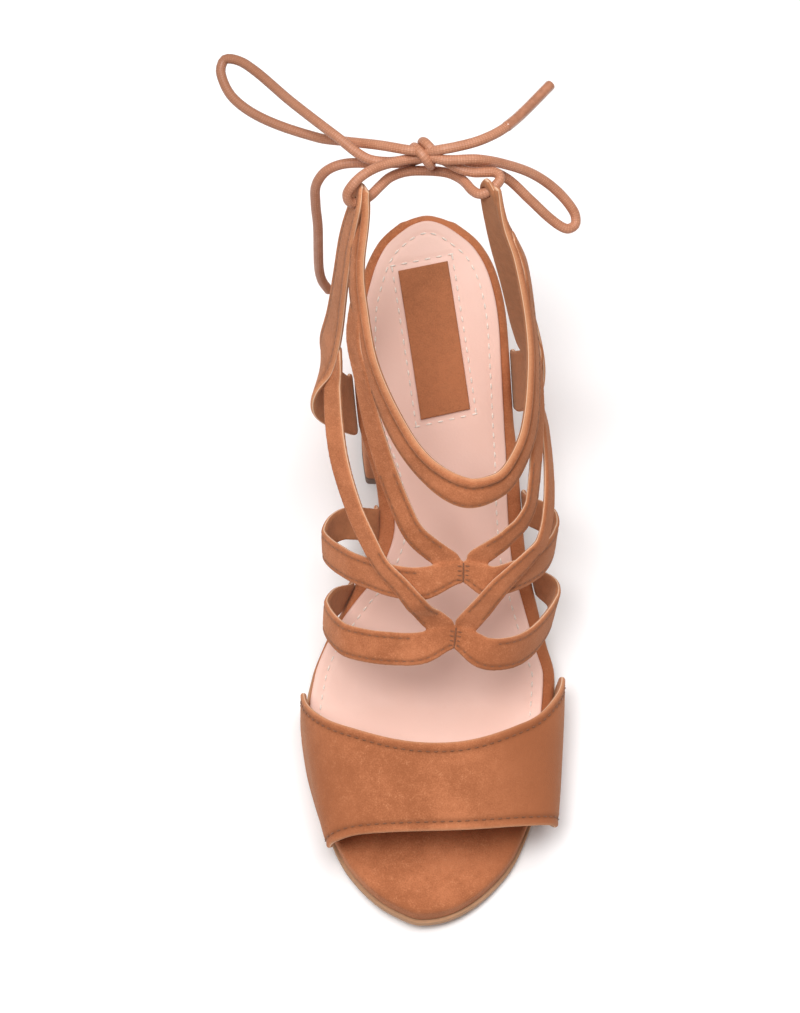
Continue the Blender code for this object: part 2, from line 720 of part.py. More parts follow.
def build():
    for obj in list(bpy.data.objects):
        bpy.data.objects.remove(obj, do_unlink=True)
    parts = collection("block_heel_sandal")
    cutters = collection("cutters")

    suede = material("tan_suede", (0.50, 0.20, 0.085), 0.92)
    pale = material("pale_lining", (0.86, 0.62, 0.50), 0.6)
    patch_look = material("patch_suede", (0.40, 0.155, 0.065), 0.9)
    edge_look = material("outsole_tan", (0.58, 0.33, 0.19), 0.7)
    lift_look = material("lift_rubber", (0.30, 0.20, 0.15), 0.75)
    lace_look = material("waxed_lace", (0.42, 0.17, 0.08), 0.5)
    clear = material("aglet_film", (0.55, 0.28, 0.16), 0.25)

    ends = (0.008, 0.992)
    board_turns = turns(*ends, 44)
    loft(
        "insole_board",
        [board_ring(t, 0.0, 0.0, BOARD, 1.6) for t in board_turns],
        parts,
        suede,
    )
    shank_end = turn_of(BREAST - 6.4)
    rings = []
    for t in turns(ends[0], shank_end, 34):
        along = outline(t, -1).y
        rear = max(0.0, (along - TREAD[1]) / (BREAST - TREAD[1]))
        out = 0.9 - 2.1 * min(1.0, 2 * rear)
        rings.append(
            flat_ring(t, (out, out), BOARD + GAP, BOARD + GAP + OUTSOLE - 0.7 * rear)
        )
    loft("outsole", rings, parts, edge_look)

    rings = []
    for t in board_turns[12:]:
        share = 100 * outline(t, -1).y / LENGTH
        rims = (-smooth(share, SOCK_RIM, 1), -smooth(share, SOCK_RIM, 2))
        rings.append(flat_ring(t, rims, -GAP - SOCK, -GAP))
    loft("sock", rings, parts, pale)

    rings = []
    half = PATCH_WIDTH / 2
    top = -2 * GAP - SOCK - PATCH
    for middle, along in np.linspace(*PATCH_ENDS, 11):
        skew = (PATCH_ENDS[0][0] - PATCH_ENDS[1][0]) / (PATCH_ENDS[1][1] - PATCH_ENDS[0][1])
        rings.append(
            [
                bed_point(middle + x, along + skew * x, depth)
                for x, depth in ((-half, top), (-half, top + PATCH), (half, top + PATCH), (half, top))
            ]
        )
    loft("heel_patch", rings, parts, patch_look)

    seat = loft(
        "seat_cutter",
        [
            [
                bed_point(-45.0, along, BOARD + GAP),
                bed_point(45.0, along, BOARD + GAP),
                Vector((45.0, along, 130.0)),
                Vector((-45.0, along, 130.0)),
            ]
            for along in np.linspace(BREAST - 16.0, LENGTH + 14.0, 22)
        ],
        cutters,
    )
    levels = [LIFT + GAP, 22.0, 42.0, 62.0, 86.0]
    block = loft(
        "heel_block",
        [heel_ring(max(0.0, z - LIFT - GAP) / 78.0, z) for z in levels],
        parts,
        suede,
    )
    combine(block, seat, "DIFFERENCE")
    loft("heel_lift", [heel_ring(-0.02, 0.0), heel_ring(0.0, LIFT)], parts, lift_look)

    sheet("toe_band", toe_band_grid(), BAND, -1.0, parts, suede)

    lower = (
        sole_rows(-1, LOWER_FEET[0], 11.5, STRAP)
        + strap_rows(LOWER_BAND)
        + sole_rows(1, LOWER_FEET[1], 11.5, STRAP)[::-1]
    )
    upper = (
        sole_rows(-1, UPPER_FEET[0], 11.5, STRAP)
        + strap_rows(UPPER_BAND)
        + sole_rows(1, UPPER_FEET[1], 11.5, STRAP)[::-1]
    )
    cage = strap("strap_cage", lower, 52, STRAP, parts)
    others = [
        strap("upper_band", upper, 52, STRAP, cutters),
        strap("third_medial", strap_rows(THIRD_MEDIAL), 26, ARM, cutters),
        strap("third_lateral", strap_rows(THIRD_LATERAL), 26, ARM, cutters),
        strap("second_medial", strap_rows(SECOND_MEDIAL), 30, ARM, cutters),
        strap("second_lateral", strap_rows(SECOND_LATERAL), 30, ARM, cutters),
        strap("ankle", strap_rows(ANKLE), 44, STRAP, cutters),
    ]
    for side, table, station in (
        (-1, QUARTER_MEDIAL, QUARTER_FEET[0]),
        (1, QUARTER_LATERAL, QUARTER_FEET[1]),
    ):
        rows = sole_rows(side, station, QUARTER_FOOT_WIDTH, STRAP) + strap_rows(table)
        others.append(strap("quarter", rows, 30, STRAP, cutters))
    for other in others:
        combine(cage, other, "UNION")
    trim = loft(
        "sole_trim",
        [board_ring(t, GAP, -GAP, BOARD + 2 * GAP, 1.6) for t in board_turns[11:40]],
        cutters,
    )
    combine(cage, trim, "DIFFERENCE")
    combine(cage, cord("lace_clearance", LACE_ROUTE, cutters, None, CORD + 2 * GAP, BARS_SPACING), "DIFFERENCE")
    cage.data.materials.clear()
    cage.data.materials.append(suede)

    cord("lace_bars", LACE_ROUTE, parts, lace_look, CORD, BARS_SPACING)
    cord("lace_knot", knot_route(), parts, lace_look, CORD, 0.6)
    cord("lace_loop_medial", LOOP_MEDIAL, parts, lace_look)
    cord("lace_loop_lateral", LOOP_LATERAL, parts, lace_look)
    cord("lace_end_medial", END_MEDIAL, parts, lace_look)
    cord("lace_end_lateral", END_LATERAL, parts, lace_look)
    cord("lace_aglet", AGLET, parts, clear, AGLET_WIDTH)
    for obj in cutters.objects:
        obj.hide_render = True
        obj.display_type = "WIRE"


build()
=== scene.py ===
"""Dresses the block heel sandal: suede, lining, stitches, lace, and the studio it stands in.

Tables and sizes are in millimetres, with distances along the shoe counted from the toe tip, as in the solids' source.
"""
import math

import bmesh
import bpy
import numpy as np
from bpy.props import FloatProperty, FloatVectorProperty, PointerProperty
from mathutils import Euler, Matrix, Vector
from mathutils.bvhtree import BVHTree
from mathutils.kdtree import KDTree


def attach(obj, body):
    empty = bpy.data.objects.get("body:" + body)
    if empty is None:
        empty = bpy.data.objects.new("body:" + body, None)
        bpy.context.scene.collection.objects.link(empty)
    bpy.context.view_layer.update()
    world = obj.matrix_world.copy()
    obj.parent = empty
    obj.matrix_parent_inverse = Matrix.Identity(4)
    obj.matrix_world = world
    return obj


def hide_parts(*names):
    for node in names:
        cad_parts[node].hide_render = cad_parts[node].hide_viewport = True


bl_info = {
    "name": "Block Heel Sandal",
    "version": (1, 0, 0),
    "blender": (4, 5, 0),
    "location": "View3D > Sidebar > Sandal",
    "description": "Builds the leather, stitches, lace and studio of a block heel sandal",
    "category": "Object",
}

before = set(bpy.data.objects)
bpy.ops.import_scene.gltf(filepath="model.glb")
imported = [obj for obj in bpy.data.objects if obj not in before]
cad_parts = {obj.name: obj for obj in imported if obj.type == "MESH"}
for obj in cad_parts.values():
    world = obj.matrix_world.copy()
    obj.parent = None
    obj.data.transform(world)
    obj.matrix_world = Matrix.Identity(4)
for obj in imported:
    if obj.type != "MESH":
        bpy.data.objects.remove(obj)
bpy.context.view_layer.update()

MM = 0.001
LENGTH = 220.5  # toe tip to heel end, along the floor
BALL_WIDTH = 84.0  # board across the ball of the foot
INSTEP = 60.0  # foot bed to the upper strap joint
HEEL_RISE = 79.5  # heel end of the foot bed over the ball
TOE_SPRING = 4.0
TREAD = (45.0, 73.0)  # the flat stretch under the ball, from the toe tip
ORIGIN_FROM_TOE = 59.0
BOARD = 6.5
OUTSOLE = 2.7
GAP = 0.3  # between curved pieces
BALL_HEIGHT = BOARD + GAP + OUTSOLE
SOCK = 1.2
PATCH = 0.8
PATCH_WIDTH = 16.5
PATCH_ENDS = ((4.3, 161.0), (-3.6, 204.0))  # middle of its front and rear edge: x and along
STRAP = 2.0
ARM = 1.8
BAND = 2.2
BREAST = 157.0  # heel breast from the toe tip
HEEL_TAPER = 0.88  # foot of the heel block against its seat
LIFT = 5.0

# along: percent of LENGTH from the toe, medial and lateral: percent of BALL_WIDTH from the long axis
SOLE_OUTLINE = [
    (0.0, -4.3, -4.3),
    (0.9, -12.3, 7.6),
    (2.6, -20.2, 15.8),
    (5.4, -28.2, 24.4),
    (8.4, -34.3, 31.0),
    (11.8, -38.7, 35.7),
    (17.7, -44.0, 41.7),
    (24.5, -48.2, 47.0),
    (31.3, -50.0, 49.4),
    (37.7, -47.6, 50.6),
    (42.3, -43.0, 47.4),
    (46.2, -36.4, 44.5),
    (49.9, -31.0, 41.7),
    (54.9, -23.8, 38.4),
    (58.5, -20.8, 37.1),
    (63.1, -22.1, 35.8),
    (67.6, -26.2, 34.5),
    (72.0, -29.8, 32.7),
    (79.0, -31.5, 31.0),
    (85.8, -31.0, 29.2),
    (91.6, -27.4, 25.2),
    (95.7, -22.0, 18.8),
    (98.4, -14.0, 9.8),
    (100.0, -2.4, -2.4),
]
# along: percent of LENGTH, rise: percent of HEEL_RISE
FOOT_BED = [
    (33.1, 0.0),
    (42.7, 6.4),
    (49.4, 16.5),
    (58.5, 33.2),
    (67.6, 51.2),
    (76.6, 68.7),
    (85.8, 83.9),
    (92.5, 93.1),
    (98.9, 100.0),
]
# along: percent of LENGTH, medial and lateral: the suede rim left beside the sock, mm
SOCK_RIM = [
    (17.4, 1.2, 3.5),
    (35.3, 0.5, 4.0),
    (45.2, 0.6, 4.2),
    (55.2, 5.0, 5.0),
    (63.1, 5.0, 4.6),
    (74.0, 3.6, 3.2),
    (98.9, 2.6, 2.6),
]
# side: -1 medial to 1 lateral over the toes, front and back: the toe band's edges, percent of LENGTH
TOE_BAND = [
    (-1.0, 9.3, 33.9),
    (-0.8, 9.7, 30.5),
    (-0.5, 10.3, 26.6),
    (0.0, 10.5, 23.2),
    (0.5, 11.5, 27.2),
    (0.8, 12.2, 32.5),
    (1.0, 12.6, 36.3),
]
# along: percent of LENGTH, medial and lateral: the band's inside at its widest, percent of BALL_WIDTH, height:
# percent of INSTEP over the bed
BAND_SECTIONS = [
    (9.8, -40.0, 46.0, 35.0),
    (13.3, -42.4, 47.2, 39.5),
    (20.0, -46.2, 48.8, 47.0),
    (26.5, -49.0, 50.0, 53.0),
    (31.5, -50.4, 50.8, 56.0),
    (37.0, -50.4, 51.6, 58.0),
]
WIDEST = 15.0  # height of the band's widest line, percent of INSTEP over the bed
# x, along, height in mm: the line inside the foot that every strap faces away from
CORE = [
    (0.0, -1.0, 20.0),
    (0.0, 59.0, 25.0),
    (5.0, 84.0, 33.0),
    (7.0, 104.0, 48.0),
    (7.0, 129.0, 68.0),
    (4.0, 154.0, 92.0),
    (-1.0, 171.0, 118.0),
    (-5.0, 181.0, 150.0),
    (-5.0, 183.0, 200.0),
]
# Straps, a row per section. across: percent of BALL_WIDTH, along: percent of LENGTH, up: percent of INSTEP over the
# foot bed, width: mm, and twist: degrees about its own run, 0 where left out
LOWER_BAND = [
    (-39.7, 46.6, 17.9, 11.5),
    (-42.6, 43.9, 31.5, 11.5),
    (-36.4, 38.9, 54.8, 11.5),
    (-27.4, 36.9, 65.8, 11.5),
    (-16.5, 35.8, 73.4, 11.5),
    (-6.0, 35.5, 77.8, 11.0),
    (7.7, 37.1, 78.1, 8.5),
    (19.3, 34.8, 77.6, 11.0),
    (28.5, 35.2, 72.3, 11.5),
    (36.2, 37.1, 62.3, 11.5),
    (43.2, 40.5, 49.3, 11.5),
    (48.3, 44.6, 32.6, 11.5),
    (48.9, 47.9, 18.7, 11.5),
]
LOWER_FEET = (48.4, 50.8)
UPPER_BAND = [
    (-34.5, 57.8, 12.0, 11.5),
    (-41.0, 55.7, 24.6, 11.5),
    (-43.1, 52.7, 39.4, 11.0),
    (-34.5, 48.2, 66.4, 11.0),
    (-25.6, 45.9, 80.0, 11.0),
    (-17.5, 44.3, 89.1, 11.5),
    (-6.4, 43.3, 95.9, 11.5),
    (10.5, 45.0, 95.2, 8.0),
    (21.3, 43.6, 95.3, 11.0),
    (28.0, 44.7, 88.1, 11.0),
    (35.6, 46.6, 76.1, 11.0),
    (43.4, 49.7, 57.4, 11.0),
    (48.1, 53.7, 37.0, 11.0),
    (47.5, 57.2, 21.1, 11.5),
]
UPPER_FEET = (58.5, 60.5)
THIRD_MEDIAL = [
    (6.1, 37.7, 77.9, 8.0),
    (-2.3, 39.5, 85.0, 8.5),
    (-7.8, 40.5, 93.8, 8.0),
    (-14.1, 43.2, 94.1, 7.5),
    (-20.9, 45.8, 93.0, 7.5, 4.0),
    (-25.6, 48.7, 91.0, 7.5, 12.0),
    (-32.5, 54.5, 83.4, 7.5, 27.0),
    (-38.4, 62.0, 76.0, 7.5, 44.0),
    (-40.3, 70.8, 66.3, 8.0, 47.0),
    (-38.4, 73.5, 69.8, 7.5, 20.0),
    (-38.4, 75.6, 69.2, 7.0, 22.0),
]
THIRD_LATERAL = [
    (9.7, 38.0, 77.6, 8.0),
    (17.4, 40.3, 88.6, 8.5),
    (23.5, 42.4, 96.0, 8.0),
    (29.9, 45.0, 91.0, 7.5),
    (36.2, 47.4, 87.6, 7.5),
    (41.5, 49.8, 87.0, 7.5),
    (43.9, 55.5, 85.0, 7.5),
    (42.3, 64.4, 77.1, 7.5),
    (38.9, 69.5, 73.1, 8.0),
    (39.4, 74.5, 74.5, 7.5, 10.0),
    (36.3, 76.2, 74.3, 7.0, 20.0),
]
SECOND_MEDIAL = [
    (8.4, 45.7, 94.0, 7.5),
    (-2.7, 47.9, 97.4, 8.5),
    (-9.0, 49.8, 98.3, 8.0, 10.0),
    (-13.6, 52.7, 98.7, 8.0, 15.0),
    (-19.8, 57.7, 100.4, 7.8, 17.0),
    (-25.3, 63.2, 102.9, 7.8, 17.0),
    (-29.3, 68.2, 107.4, 7.6, 14.0),
    (-32.6, 72.4, 112.0, 7.6, 13.0),
    (-31.4, 76.9, 119.6, 7.5, 10.0),
    (-30.3, 80.8, 126.3, 7.0),
]
SECOND_LATERAL = [
    (12.7, 46.2, 93.5, 7.5),
    (24.2, 48.4, 97.6, 7.4),
    (28.5, 49.5, 99.5, 7.2),
    (33.1, 51.0, 101.0, 7.0),
    (36.6, 53.8, 101.1, 7.0, 8.0),
    (38.4, 63.9, 99.5, 7.5),
    (37.9, 68.6, 100.5, 7.5),
    (36.2, 72.6, 103.4, 7.5),
    (31.7, 80.4, 121.9, 7.5),
    (26.2, 83.8, 130.5, 7.0),
]
ANKLE = [
    (-28.9, 88.7, 139.6, 6.5, -50.0),
    (-29.6, 87.4, 135.6, 8.5, -46.0),
    (-30.2, 84.9, 132.5, 8.5, -39.0),
    (-31.6, 80.5, 127.0, 9.0, -23.0),
    (-31.1, 76.5, 122.6, 9.5, -17.0),
    (-26.4, 69.1, 118.6, 10.0, 3.0),
    (-15.0, 60.7, 117.6, 10.0, 6.0),
    (-3.9, 55.7, 121.7, 10.0, 15.0),
    (10.4, 52.8, 124.1, 10.5, 2.0),
    (22.6, 53.8, 123.4, 10.0, 11.0),
    (28.9, 56.2, 121.8, 9.5, 13.0),
    (34.4, 61.1, 119.5, 10.0, 15.0),
    (35.6, 69.1, 117.6, 10.0, 11.0),
    (33.5, 75.2, 119.1, 9.5, 2.0),
    (28.4, 81.5, 126.0, 9.0, -7.0),
    (23.3, 84.9, 132.5, 8.5, -12.0),
    (20.4, 86.8, 138.0, 8.0, -6.0),
    (18.6, 88.4, 144.8, 6.5),
]
QUARTER_MEDIAL = [
    (-45.0, 73.0, 40.5, 20.0, -8.0),
    (-43.1, 75.3, 52.1, 17.5, 21.0),
    (-39.8, 78.0, 70.9, 13.5, 25.0),
    (-37.7, 81.2, 91.6, 11.5, 28.0),
    (-35.5, 84.6, 112.7, 11.0, 32.0),
    (-32.0, 87.3, 131.7, 10.5, 32.0),
    (-30.6, 88.3, 137.4, 9.0, 34.0),
    (-30.0, 88.8, 140.4, 5.0, 34.0),
]
QUARTER_LATERAL = [
    (38.2, 74.7, 37.7, 20.0, -12.0),
    (36.8, 76.2, 52.4, 17.5, 8.0),
    (33.3, 78.3, 71.7, 13.5, 29.0),
    (28.9, 80.8, 91.5, 11.5, 37.0),
    (23.6, 83.8, 112.8, 11.0, 33.0),
    (18.9, 86.6, 131.9, 9.5, 17.0),
    (17.0, 88.2, 142.2, 8.0, 6.0),
    (16.2, 88.9, 147.0, 4.5, 2.0),
]
QUARTER_FEET = (73.9, 77.0)
QUARTER_FOOT_WIDTH = 20.5
# x, along, height in mm: the lace, from the knot through both tabs and back to the knot
LACE_ROUTE = [
    (-5.5, 205.8, 163.2),
    (-9.8, 205.5, 163.0),
    (-15.6, 203.5, 164.4),
    (-20.5, 201.1, 166.0),
    (-24.8, 198.1, 166.8),
    (-28.0, 195.4, 165.6),
    (-29.8, 193.2, 163.0),
    (-29.0, 191.9, 160.2),
    (-26.2, 192.4, 158.6),
    (-22.4, 195.2, 158.0),
    (-19.4, 198.6, 157.6),
    (-16.2, 201.9, 157.0),
    (-11.4, 204.3, 156.0),
    (-5.7, 204.9, 155.6),
    (1.5, 204.2, 155.8),
    (5.4, 201.8, 157.2),
    (7.6, 198.6, 159.6),
    (9.2, 195.6, 161.4),
    (11.4, 193.5, 162.9),
    (13.8, 193.7, 163.8),
    (15.6, 194.9, 164.3),
    (17.3, 196.5, 164.6),
    (18.0, 198.1, 164.5),
    (17.5, 199.7, 164.2),
    (16.0, 200.6, 163.7),
    (13.0, 200.9, 163.0),
    (9.6, 201.2, 162.4),
    (5.0, 202.6, 162.4),
    (0.2, 205.2, 162.8),
    (-4.0, 206.2, 163.2),
]
LOOP_MEDIAL = [
    (-6.0, 206.8, 161.4),
    (-11.0, 207.0, 159.2),
    (-16.8, 206.4, 158.8),
    (-23.8, 207.3, 159.6),
    (-32.0, 213.1, 161.2),
    (-47.0, 228.4, 156.0),
    (-62.0, 245.0, 150.0),
    (-68.5, 248.0, 147.5),
    (-70.0, 244.0, 146.0),
    (-66.0, 235.0, 146.0),
    (-56.0, 226.5, 148.0),
    (-39.0, 218.2, 151.8),
    (-30.6, 215.0, 155.8),
    (-19.7, 210.2, 163.0),
    (-10.9, 206.9, 166.5),
    (-6.0, 206.8, 165.6),
]
LOOP_LATERAL = [
    (-3.8, 205.0, 165.6),
    (1.0, 203.2, 167.0),
    (11.0, 203.9, 166.0),
    (20.8, 205.6, 158.5),
    (29.6, 205.8, 151.0),
    (37.3, 203.5, 143.8),
    (43.0, 198.8, 138.2),
    (43.5, 195.3, 136.4),
    (40.7, 193.5, 136.8),
    (35.9, 195.4, 139.2),
    (28.6, 199.4, 145.8),
    (21.1, 203.8, 152.0),
    (14.1, 205.3, 156.2),
    (6.5, 206.5, 158.4),
    (1.4, 206.8, 158.9),
    (-3.8, 207.0, 161.2),
]
END_MEDIAL = [
    (-6.2, 207.2, 160.0),
    (-11.0, 208.2, 154.6),
    (-21.0, 208.3, 154.0),
    (-30.6, 208.7, 152.5),
    (-36.3, 207.6, 149.4),
    (-39.4, 205.3, 144.0),
    (-39.6, 202.8, 136.5),
    (-38.8, 199.6, 125.0),
    (-38.6, 197.0, 112.0),
    (-38.3, 195.6, 100.0),
    (-37.2, 195.2, 91.0),
    (-35.0, 195.0, 84.0),
]
END_LATERAL = [
    (-4.6, 206.2, 166.6),
    (-0.2, 205.8, 169.2),
    (4.2, 206.6, 169.4),
    (10.8, 208.7, 169.0),
    (16.9, 212.3, 167.5),
    (21.2, 216.2, 165.7),
    (26.0, 221.5, 164.0),
    (34.6, 231.8, 162.0),
]
AGLET_FROM = 0.56  # share of the lateral end where its film starts
AGLET_SWELL = 1.09  # thickness of the film against the lace
QUARTER_EASE = 40  # rounds of smoothing along a quarter strap, so that it folds softly at its foot
KNOT_MIDDLE = (-5.0, 207.0, 163.5)
KNOT_REACH = 3.7
KNOT_TURNS = 1.7
KNOT_PITCH = 4.4
KNOT_AXIS = (0.85, 0.5, 0.18)  # the winding lies askew, higher at the lateral side
KNOT_STEPS = 40
KNOT_DIVE = 0.55  # share by which its ends are pulled in

# Measures of the pieces, in mm where no other unit is named
REAR_SLOPE = 0.36  # of the bed where it is carried on behind the heel end
FOOT_RAISE = 0.5  # a strap's end over the board's underside
FOOT_LEAN = 0.3  # a strap's outward lean beside the board
RIM_REACH = 0.55  # how far in from its edge a strap is painted paler, part wear and part painted highlight
OUTSOLE_STOP = 6.4  # the outsole's end before the heel breast
OUTSOLE_LIP = 0.9  # the outsole's edge past the board's
SHANK_DRAW = 2.1  # how far that edge is drawn in under the shank
SHANK_THINNING = 0.7
SOCK_FRONT = 40.7  # from the toe tip
SOCK_SEAM_FRONT = 44.0  # from the toe tip
SOCK_SEAM_TURN = 0.93  # share of the outline where the two rows of stitches become one
SOCK_SEAM = 3.8  # the stitches inside the sock's edge
SOCK_UP = (0.0, -0.36, 0.93)  # out of the sock, for dropping stitches on it
SOCK_STITCH = (0.0021, 0.0007)  # length and thickness, in metres
SOCK_GROOVE = 0.00022  # in metres
PATCH_SEAM = 1.8  # the stitches outside the patch
HEEL_INSET = 0.4  # the heel's seat inside the board's edge
HEEL_SPAN = 78.0  # height over which the heel tapers
HEEL_DRAW = 0.01  # share by which the heel's back is drawn in
HEEL_POINTS = 240  # round the heel
BREAST_CORNER = 2.4
BAND_FULLNESS = 0.87  # power of the toe band's arch, fuller than an ellipse under 1
# The toe band's soft dents, placed one by one: side -1 to 1 round the band, share front to back, depth mm, reach
BAND_DENTS = [
    (-0.55, 0.45, -0.35, 0.22),
    (0.1, 0.55, 0.25, 0.3),
    (0.5, 0.35, -0.3, 0.2),
    (0.72, 0.7, 0.3, 0.16),
    (-0.8, 0.75, -0.25, 0.18),
]
# Patches painted darker, placed in the same way: side, share, darkness, reach. They are partly nap brushed dark and
# partly painted shade on the band's sides
BAND_NAP_AND_SHADE = [
    (0.45, 0.78, 0.8, 0.13),
    (0.85, 0.5, 0.45, 0.25),
    (-0.55, 0.12, 0.5, 0.16),
    (-0.9, 0.6, 0.45, 0.22),
]
LOWER_JOINT = 7.7  # where two leaves meet, percent of BALL_WIDTH
UPPER_JOINT = 10.5
LEAF_FOOT_WIDTH = 11.5
LEAF_LAP = 0.7  # each leaf past the joint
LEAF_SEAM_CLEAR = 2.5  # stitches stop this far from the joint
ARM_SEAM_CLEAR = 16.0  # and this far on the side of the arm
FOOT_SEAM_CLEAR = 7.0  # and this far from the sole
ROLL_SEAM = 3.4  # the stitches under the ankle strap's rolled edge
HOLE_ROOM = 0.0003  # round the lace in its holes, in metres
DROP_FROM = 0.004  # stitches are dropped on the leather from this height, in metres
DROP_REACH = 0.009

# Where the photograph's camera stood, in metres, and how far it is turned to face this one shoe
CAMERA_PLACE = (-0.0442, -0.3377, 1.1746)
CAMERA_TILT = 20.0
CAMERA_TURN = 1.59
CAMERA_LENS = 126.6
FLOOR_REACH = 4.0
AIR_LIGHT = 0.26
LIGHT_AIM = (0.0, 0.03, 0.05)
# name, place and width in metres, and power of the soft boxes over the shoe
SOFT_BOXES = [
    ("key", (-0.4, -0.2, 1.65), 0.7, 15.0),
    ("top", (0.1, 0.35, 1.9), 1.3, 24.0),
]


# Sizes and colours


def measure(name, words, value):
    return FloatProperty(name=name, description=words, default=value, unit="LENGTH")


def colour(name, words, value):
    return FloatVectorProperty(
        name=name, description=words, default=value, subtype="COLOR", size=3, min=0.0, max=1.0
    )


class SandalSizes(bpy.types.PropertyGroup):
    """Sizes of the sewn and tied details."""

    stitch_pitch: measure("Stitch pitch", "From one stitch to the next on the straps", 0.0027)
    stitch_length: measure("Stitch length", "Length of one stitch on the straps", 0.0015)
    stitch_width: measure("Thread", "Thickness of the sewing thread", 0.00045)
    sock_pitch: measure("Sock stitch pitch", "From one stitch to the next on the sock", 0.0034)
    groove: measure("Groove", "How deep a row of stitches draws the leather in", 0.00022)
    cord: measure("Lace", "Diameter of the lace", 0.0032)
    voxel: measure("Fineness", "Mesh size on the cut-out straps", 0.00048)


class SandalColours(bpy.types.PropertyGroup):
    """Colours of the materials."""

    suede: colour("Suede", "The tan suede, brushed flat", (0.525, 0.186, 0.082))
    # suede_dark also paints shade: on the lateral side, at the medial turn, on the toe band's sides and in the stitch
    # grooves
    suede_dark: colour("Suede against the nap", "The suede where its nap is raised", (0.345, 0.112, 0.045))
    # suede_lit also paints the highlight on the straps' edges, along with their wear, and the paler flecks of nap
    suede_lit: colour("Suede edge", "The suede on a worn or folded edge", (0.74, 0.36, 0.19))
    lining: colour("Sock", "The pale sock", (0.87, 0.58, 0.49))
    strap_lining: colour("Strap lining", "The inside of the straps", (0.42, 0.168, 0.078))
    raw_edge: colour("Raw edge", "The cut edge of the lining", (0.86, 0.62, 0.44))
    patch: colour("Patch", "The suede patch on the sock", (0.46, 0.168, 0.075))
    outsole: colour("Outsole", "The edge of the outsole", (0.50, 0.275, 0.15))
    lift: colour("Lift", "The rubber under the heel", (0.24, 0.16, 0.12))
    lace: colour("Lace", "The waxed lace", (0.47, 0.195, 0.105))
    thread: colour("Thread", "The thread on the suede", (0.26, 0.10, 0.045))
    sock_thread: colour("Sock thread", "The thread on the sock", (1.0, 0.86, 0.76))


# Form of the last


def hermite(t, span, first, last, first_slope, last_slope):
    """A cubic between two values with given slopes, at share t of its span."""
    a = (1 + 2 * t) * (1 - t) ** 2
    b = t * (1 - t) ** 2 * span
    d = t * t * (t - 1) * span
    return a * first + b * first_slope + (1 - a) * last + d * last_slope


class Table:
    """Monotone cubics through the columns of a table whose first column is the station."""

    def __init__(self, rows):
        data = np.array(rows, float)
        self.x = data[:, 0]
        self.y = data[:, 1:]
        self.step = np.diff(self.x)[:, None]
        rise = np.diff(self.y, axis=0) / self.step
        self.slope = np.vstack([rise[:1], np.zeros_like(rise[1:]), rise[-1:]])
        a = rise[:-1]
        b = rise[1:]
        rising = a * b > 0
        total = np.where(rising, a + b, 1.0)
        self.slope[1:-1] = np.where(rising, 2 * a * b / total, 0.0)

    def at(self, x):
        x = np.clip(np.atleast_1d(np.asarray(x, float)), self.x[0], self.x[-1])
        i = np.clip(np.searchsorted(self.x, x, side="right") - 1, 0, len(self.x) - 2)
        h = self.step[i]
        t = ((x - self.x[i]) / h[:, 0])[:, None]
        return hermite(t, h, self.y[i], self.y[i + 1], self.slope[i], self.slope[i + 1])


def turn_of(along):
    """Share of the way round the outline, so that the toe and heel come out round."""
    return np.arccos(np.clip(1 - 2 * np.asarray(along, float) / LENGTH, -1, 1)) / math.pi


BED = Table(FOOT_BED)
RIM = Table(SOCK_RIM)
BAND_EDGES = Table(TOE_BAND)
BAND_FORM = Table(BAND_SECTIONS)
EDGE = Table([(float(turn_of(a * LENGTH / 100)), m, n) for a, m, n in SOLE_OUTLINE])


def bed_height(along):
    """Height of the foot bed over the floor."""
    along = np.atleast_1d(np.asarray(along, float))
    toe = BALL_HEIGHT + TOE_SPRING * ((TREAD[0] - along) / TREAD[0]) ** 2
    rise = BALL_HEIGHT + HEEL_RISE * BED.at(100 * np.minimum(along, LENGTH) / LENGTH)[:, 0] / 100
    rise = rise + REAR_SLOPE * np.maximum(along - LENGTH, 0.0)
    return np.where(along < TREAD[0], toe, np.where(along <= TREAD[1], BALL_HEIGHT, rise))


def bed_point(x, along, depth):
    """Points at a depth under the foot bed, measured square to it."""
    x, along, depth = np.broadcast_arrays(np.atleast_1d(x), np.atleast_1d(along), np.atleast_1d(depth))
    slope = np.arctan(bed_height(along + 0.5) - bed_height(along - 0.5))
    return np.stack([x, along + depth * np.sin(slope), bed_height(along) - depth * np.cos(slope)], axis=-1)


def outline(turn, side):
    """The board's edge on one side, -1 medial or 1 lateral, as (x, along)."""
    turn = np.atleast_1d(turn)
    along = LENGTH * (1 - np.cos(math.pi * turn)) / 2
    return np.stack([EDGE.at(turn)[:, 0 if side < 0 else 1] * BALL_WIDTH / 100, along], axis=-1)


def outline_normal(turn, side):
    turn = np.atleast_1d(turn)
    run = outline(np.minimum(turn + 0.004, 1.0), side) - outline(np.maximum(turn - 0.004, 0.0), side)
    run /= np.linalg.norm(run, axis=-1, keepdims=True)
    return np.stack([run[:, 1], -run[:, 0]], axis=-1) * side


def edge(turn, side, out):
    """The board's edge moved out by a distance, as (x, along)."""
    return outline(turn, side) + outline_normal(turn, side) * np.atleast_1d(out)[:, None]


def unit(v):
    return v / np.maximum(np.linalg.norm(v, axis=-1, keepdims=True), 1e-9)


def away_from_core(points):
    """Unit directions from the nearest place on the core line."""
    points = np.atleast_2d(points)
    best = None
    for a, b in zip(np.array(CORE), np.array(CORE[1:])):
        run = b - a
        t = np.clip((points - a) @ run / (run @ run), 0, 1)
        to = points - a - t[:, None] * run
        if best is None:
            best = to
        else:
            nearer = np.linalg.norm(to, axis=1) < np.linalg.norm(best, axis=1)
            best = np.where(nearer[:, None], to, best)
    return unit(best)


def run_length(points):
    """Distance from the first point along a line of points, or along each column of a grid."""
    steps = np.linalg.norm(np.diff(points, axis=0), axis=-1)
    return np.concatenate([np.zeros_like(steps[:1]), np.cumsum(steps, axis=0)])


